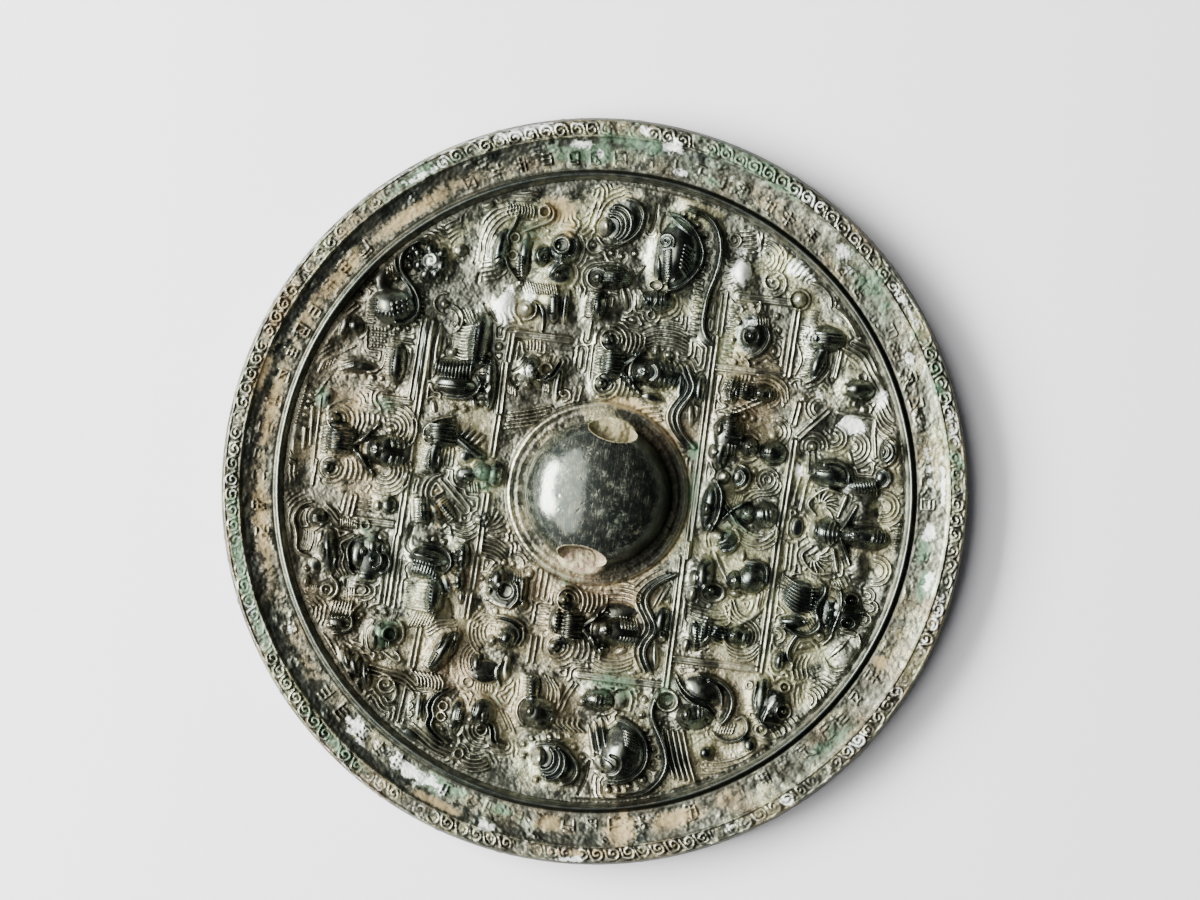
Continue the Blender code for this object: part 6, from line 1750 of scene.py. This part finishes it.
def rubbed_coat(finish, colours, proud):
    """Glossy bare bronze on the high points."""
    dull, smooth, metal = (0.26, 0.17, 0.95) if proud == "knob" else (0.36, 0.25, 1.0)
    gloss = finish.math("ADD", finish.mask("rubbed"), finish.math("MULTIPLY", finish.drift, 0.5))
    patchy = finish.ramp(finish.middle, 0.4, 0.7)
    dark = finish.over(patchy, shade(getattr(colours, proud)), shade(colours.bronze))
    finish.coat(finish.ramp(gloss, 0.3, 0.75), dark, metal, finish.level(patchy, smooth, dull))


def corrosion_coats(finish, colours, proud):
    """The tint of redder earth, then rust, malachite and whitish corrosion where the masks put them; the
    whitish coat also carries the rim's painted edge glint.
    """
    finish.colour = finish.node("Mix", {0: finish.mask("brown"), 6: finish.colour, 7: shade(EARTH_TINT)},
                                output=2, data_type="RGBA", blend_type="MULTIPLY")
    for key, thin, full, rough in COVERS:
        cover = finish.ramp(finish.math("ADD", finish.mask(key), finish.drift), thin, full)
        cover = finish.math("MULTIPLY", cover, 0.9)
        if proud == "knob":
            cover = finish.math("MULTIPLY", cover, finish.level(finish.speck, 0.9, 0.0))
        finish.coat(cover, shade(getattr(colours, key)), 0.1, rough)


def dust_coat(finish, colours):
    """Fine pale specks and scratches in three directions."""
    dust = finish.ramp(finish.cloud(7000, 2, 0.8), 0.5, 0.72)
    for turn in (0.5, 1.9, 2.7):
        stretch = {"Vector": finish.place, "Rotation": (0.0, 0.0, turn), "Scale": (1, 14, 1)}
        along = finish.node("Mapping", stretch)
        streak = finish.node("TexNoise", {"Vector": along, "Scale": 420.0, "Detail": 2.0})
        dust = finish.math("MAXIMUM", dust, finish.ramp(streak, 0.6, 0.68))
    dust = finish.math("MULTIPLY", dust, finish.level(finish.ramp(finish.middle, 0.38, 0.62), 0.1, 0.5))
    finish.coat(dust, shade(colours.worn), 0.3)


def dirt_coats(finish, colours):
    """Near-black dirt in the narrowest hollows, painted shade and painted shadows where the mask puts them,
    and clay in the cord hole.
    """
    deep = finish.math("MULTIPLY", finish.mask("dirt_and_shade"), finish.level(finish.speck, 0.85, 1.0))
    finish.coat(deep, shade(colours.dirt_and_shade), 1.0, 0.6)
    mud = finish.over(finish.mask("pink"), shade(colours.clay), shade(colours.pink_clay))
    mud = finish.over(finish.ramp(finish.middle, 0.35, 0.75), mud, shade(colours.pale_earth))
    mud = finish.over(finish.math("MULTIPLY", finish.fleck, 0.6), mud, shade(colours.dirt_and_shade))
    finish.coat(finish.mask("clay"), mud, 0.0, 0.95)


def polish():
    """The polished face: dark silvery bronze, dulled and spotted with green."""
    colours = bpy.context.scene.mirror_colours
    finish = Finish("polished_bronze")
    finish.place = finish.node("TexCoord", {}, output="Object")
    broad, middle, grain = finish.cloud(45, 4), finish.cloud(260, 5), finish.cloud(1800, 4)
    tarnish = finish.ramp(broad, 0.4, 0.62)
    finish.colour = finish.over(tarnish, shade(colours.silver), shade(colours.tarnish))
    finish.roughness = finish.level(tarnish, 0.16, 0.45)
    finish.metal = 0.9
    spots = finish.math("ADD", middle, finish.math("MULTIPLY", broad, 0.5))
    finish.coat(finish.ramp(spots, 0.84, 0.92), shade(colours.green), 0.0, 0.75)
    return finish.surface(0.3, 0.05, grain)


def plain_paint(name, colour, roughness):
    """One even colour."""
    finish = Finish(name)
    finish.colour, finish.roughness = shade(colour), roughness
    return finish.surface()


# The stage

FLOOR_REACH = 3.0
ROOM_SLOPE, ROOM_LEAST, ROOM_COLOUR = (0.0, -0.6, 0.22), 0.03, (0.9, 0.93, 1.0, 1.0)
CAMERA_PLACE, CAMERA_TURN = (-7.52, 0.02, 604.0), math.radians(97.0)  # its place in design units
LENS_LENGTH, SENSOR_WIDTH = 100.0, 36.0


def pale_floor():
    """The plain floor that the mirror lies on."""
    reach = FLOOR_REACH
    mesh = bpy.data.meshes.new("floor")
    mesh.from_pydata([(-reach, -reach, 0), (reach, -reach, 0), (reach, reach, 0), (-reach, reach, 0)], [],
                     [(0, 1, 2, 3)])
    mesh.materials.append(plain_paint("pale_floor", bpy.context.scene.mirror_colours.floor, 0.7))
    floor = bpy.data.objects.new("floor", mesh)
    bpy.context.scene.collection.objects.link(floor)


def add_light(name, direction, distance, size, power, shape="RECTANGLE"):
    """A soft light that faces the mirror from a direction."""
    light = bpy.data.lights.new(name, "AREA")
    light.shape = shape
    light.size, light.size_y = size
    light.energy = power
    lamp = bpy.data.objects.new(name, light)
    away = Vector(direction).normalized()
    lamp.location = away * distance
    lamp.rotation_euler = away.to_track_quat("Z", "Y").to_euler()
    bpy.context.scene.collection.objects.link(lamp)


def room_light():
    """Faint light from all round, a little brighter from the window's side."""
    world = bpy.data.worlds.new("room")
    world.use_nodes = True
    tree = world.node_tree
    place = tree.nodes.new("ShaderNodeTexCoord")
    share = tree.nodes.new("ShaderNodeVectorMath")
    share.operation = "DOT_PRODUCT"
    share.inputs[1].default_value = ROOM_SLOPE
    level = tree.nodes.new("ShaderNodeMath")
    level.operation = "MAXIMUM"
    level.inputs[1].default_value = ROOM_LEAST
    background = tree.nodes["Background"]
    background.inputs["Color"].default_value = ROOM_COLOUR
    tree.links.new(place.outputs["Generated"], share.inputs[0])
    tree.links.new(share.outputs["Value"], level.inputs[0])
    tree.links.new(level.outputs[0], background.inputs["Strength"])
    bpy.context.scene.world = world


def camera_above():
    """The camera, which looks straight down at the mirror."""
    lens = bpy.data.cameras.new("camera")
    lens.lens, lens.sensor_width = LENS_LENGTH, SENSOR_WIDTH
    camera = bpy.data.objects.new("camera", lens)
    camera.location = Vector(CAMERA_PLACE) * UNIT
    camera.rotation_euler = (0.0, 0.0, CAMERA_TURN)
    bpy.context.scene.collection.objects.link(camera)
    bpy.context.scene.camera = camera


# The add-on

def colour_property(name, description, default):
    return FloatVectorProperty(name=name, description=description, subtype="COLOR", size=3, min=0.0, max=1.0,
                               default=default)


class MirrorSizes(bpy.types.PropertyGroup):
    """Sizes of the mirror's fine detail."""

    mesh_step: FloatProperty(name="Mesh step", description="Spacing of the relief's mesh",
                             default=0.169 * UNIT, min=0.1 * UNIT, unit="LENGTH", subtype="DISTANCE",
                             precision=6)
    rim_columns: IntProperty(name="Rim columns", description="Mesh columns round the rim", default=1660,
                             min=200)
    line_thickness: FloatProperty(name="Line thickness", description="Factor on the width of raised lines",
                                  default=1.0, min=0.5, max=2.0, subtype="FACTOR")
    line_relief: FloatProperty(name="Line relief", description="Factor on the height of raised lines",
                               default=1.0, min=0.2, max=2.0, subtype="FACTOR")
    earth_depth: FloatProperty(name="Earth depth", description="Depth of the earth left in hollows",
                               default=0.16 * UNIT, min=0.0, unit="LENGTH", subtype="DISTANCE", precision=6)


class MirrorColours(bpy.types.PropertyGroup):
    """Colours of the bronze and of everything that lies on it."""

    black: colour_property("Black bronze", "Rubbed high points", (0.085, 0.10, 0.09))
    knob: colour_property("Knob", "Smooth dark green of the knob", (0.085, 0.10, 0.085))
    bronze: colour_property("Bronze", "Patinated ground", (0.13, 0.14, 0.105))
    worn: colour_property("Worn bronze", "Lighter patches of the ground", (0.30, 0.305, 0.235))
    # Near-black, for dirt in narrow hollows and for the painted shade and shadows on the field, the rim and
    # the knob.
    dirt_and_shade: colour_property("Recess", "Dark dirt in the narrowest hollows", (0.003, 0.003, 0.002))
    earth: colour_property("Earth", "Earth on the ground", (0.18, 0.17, 0.075))
    pale_earth: colour_property("Pale earth", "Drier earth", (0.43, 0.43, 0.23))
    brown_earth: colour_property("Brown earth", "Redder earth", (0.25, 0.19, 0.12))
    green: colour_property("Malachite", "Green corrosion", (0.085, 0.16, 0.09))
    # Whitish corrosion, also used for the painted glint along the rim's outer edge.
    bloom_and_glint: colour_property("Bloom", "Whitish corrosion", (0.84, 0.88, 0.80))
    rust: colour_property("Rust", "Tan and orange-brown corrosion", (0.31, 0.235, 0.105))
    clay: colour_property("Clay", "Clay in the cord hole", (0.22, 0.17, 0.085))
    pink_clay: colour_property("Pink clay", "Redder clay", (0.22, 0.145, 0.10))
    silver: colour_property("Polished bronze", "Silvery ground of the face", (0.30, 0.30, 0.27))
    tarnish: colour_property("Tarnish", "Dulled patches of the face", (0.06, 0.07, 0.06))
    floor: colour_property("Floor", "Floor under the mirror", (0.78, 0.77, 0.78))


class MIRROR_OT_relief(bpy.types.Operator):
    """Casts the field's relief of deities and beasts"""

    bl_idname = "mirror.cast_relief"
    bl_label = "Cast Relief"
    bl_options = {"REGISTER", "UNDO"}

    def execute(self, context):
        art, height, masks = field_surface(context.scene.mirror_sizes)
        for high, low, name in SLABS:
            slab(name, art, height, masks, field_cells(art, low, high))
        return {"FINISHED"}


class MIRROR_OT_rim(bpy.types.Operator):
    """Casts the rim with its inscription band, scroll border and edge"""

    bl_idname = "mirror.cast_rim"
    bl_label = "Cast Rim"
    bl_options = {"REGISTER", "UNDO"}

    def execute(self, context):
        strip = rim_surface(context.scene.mirror_sizes)
        radii = strip[0].y[:, 0]
        split = int(np.argmin(abs(radii - SPLIT_RADIUS)))
        crest = int(np.argmin(abs(radii - SCROLL_OUT)))
        last = int(np.argmin(abs(radii - RIM_SECTION[-1][0])))
        band_rows = [*range(split % 2, split, 2), split]
        edge_rows = [*range(split, crest, 2), *range(crest, last + 1)]
        inner, middle = radii[band_rows[0]], radii[split]
        rim_piece("rim_band", strip, band_rows, [(middle, HIDDEN_Z), (inner, HIDDEN_Z)])
        rim_piece("rim_edge", strip, edge_rows,
                  [*WALL_FOOT, (FACE_EDGE, face_rise(FACE_EDGE)), (middle, HIDDEN_Z)])
        polished_face()
        return {"FINISHED"}


class MIRROR_OT_knob(bpy.types.Operator):
    """Casts the pierced knob"""

    bl_idname = "mirror.cast_knob"
    bl_label = "Cast Knob"
    bl_options = {"REGISTER", "UNDO"}

    def execute(self, context):
        knob()
        return {"FINISHED"}


class MIRROR_OT_stage(bpy.types.Operator):
    """Sets the floor, the window light and the camera above the mirror"""

    bl_idname = "mirror.set_stage"
    bl_label = "Set Stage"
    bl_options = {"REGISTER", "UNDO"}

    def execute(self, context):
        pale_floor()
        add_light("window", (0.0, -1.0, 0.52), 1.1, (1.0, 0.42), 80.0)
        add_light("sky", (0.0, -1.0, 1.3), 1.1, (2.4, 0.95), 23.0, "ELLIPSE")
        room_light()
        camera_above()
        return {"FINISHED"}


OPERATORS = (MIRROR_OT_relief, MIRROR_OT_rim, MIRROR_OT_knob, MIRROR_OT_stage)


class MIRROR_PT_panel(bpy.types.Panel):
    """Lists the mirror's pieces, sizes and colours"""

    bl_idname = "MIRROR_PT_panel"
    bl_label = "Bronze Mirror"
    bl_space_type = "VIEW_3D"
    bl_region_type = "UI"
    bl_category = "Mirror"

    def draw(self, context):
        layout = self.layout
        for operator in OPERATORS:
            layout.operator(operator.bl_idname)
        for group in (context.scene.mirror_sizes, context.scene.mirror_colours):
            box = layout.box()
            for name in group.__annotations__:
                box.prop(group, name)


CLASSES = (MirrorSizes, MirrorColours, *OPERATORS, MIRROR_PT_panel)


def register():
    for item in CLASSES:
        bpy.utils.register_class(item)
    bpy.types.Scene.mirror_sizes = PointerProperty(type=MirrorSizes)
    bpy.types.Scene.mirror_colours = PointerProperty(type=MirrorColours)


def unregister():
    del bpy.types.Scene.mirror_sizes
    del bpy.types.Scene.mirror_colours
    for item in reversed(CLASSES):
        bpy.utils.unregister_class(item)


def main():
    register()
    bpy.ops.mirror.cast_relief()
    bpy.ops.mirror.cast_rim()
    bpy.ops.mirror.cast_knob()
    bpy.ops.mirror.set_stage()


if __name__ == "__main__":
    main()
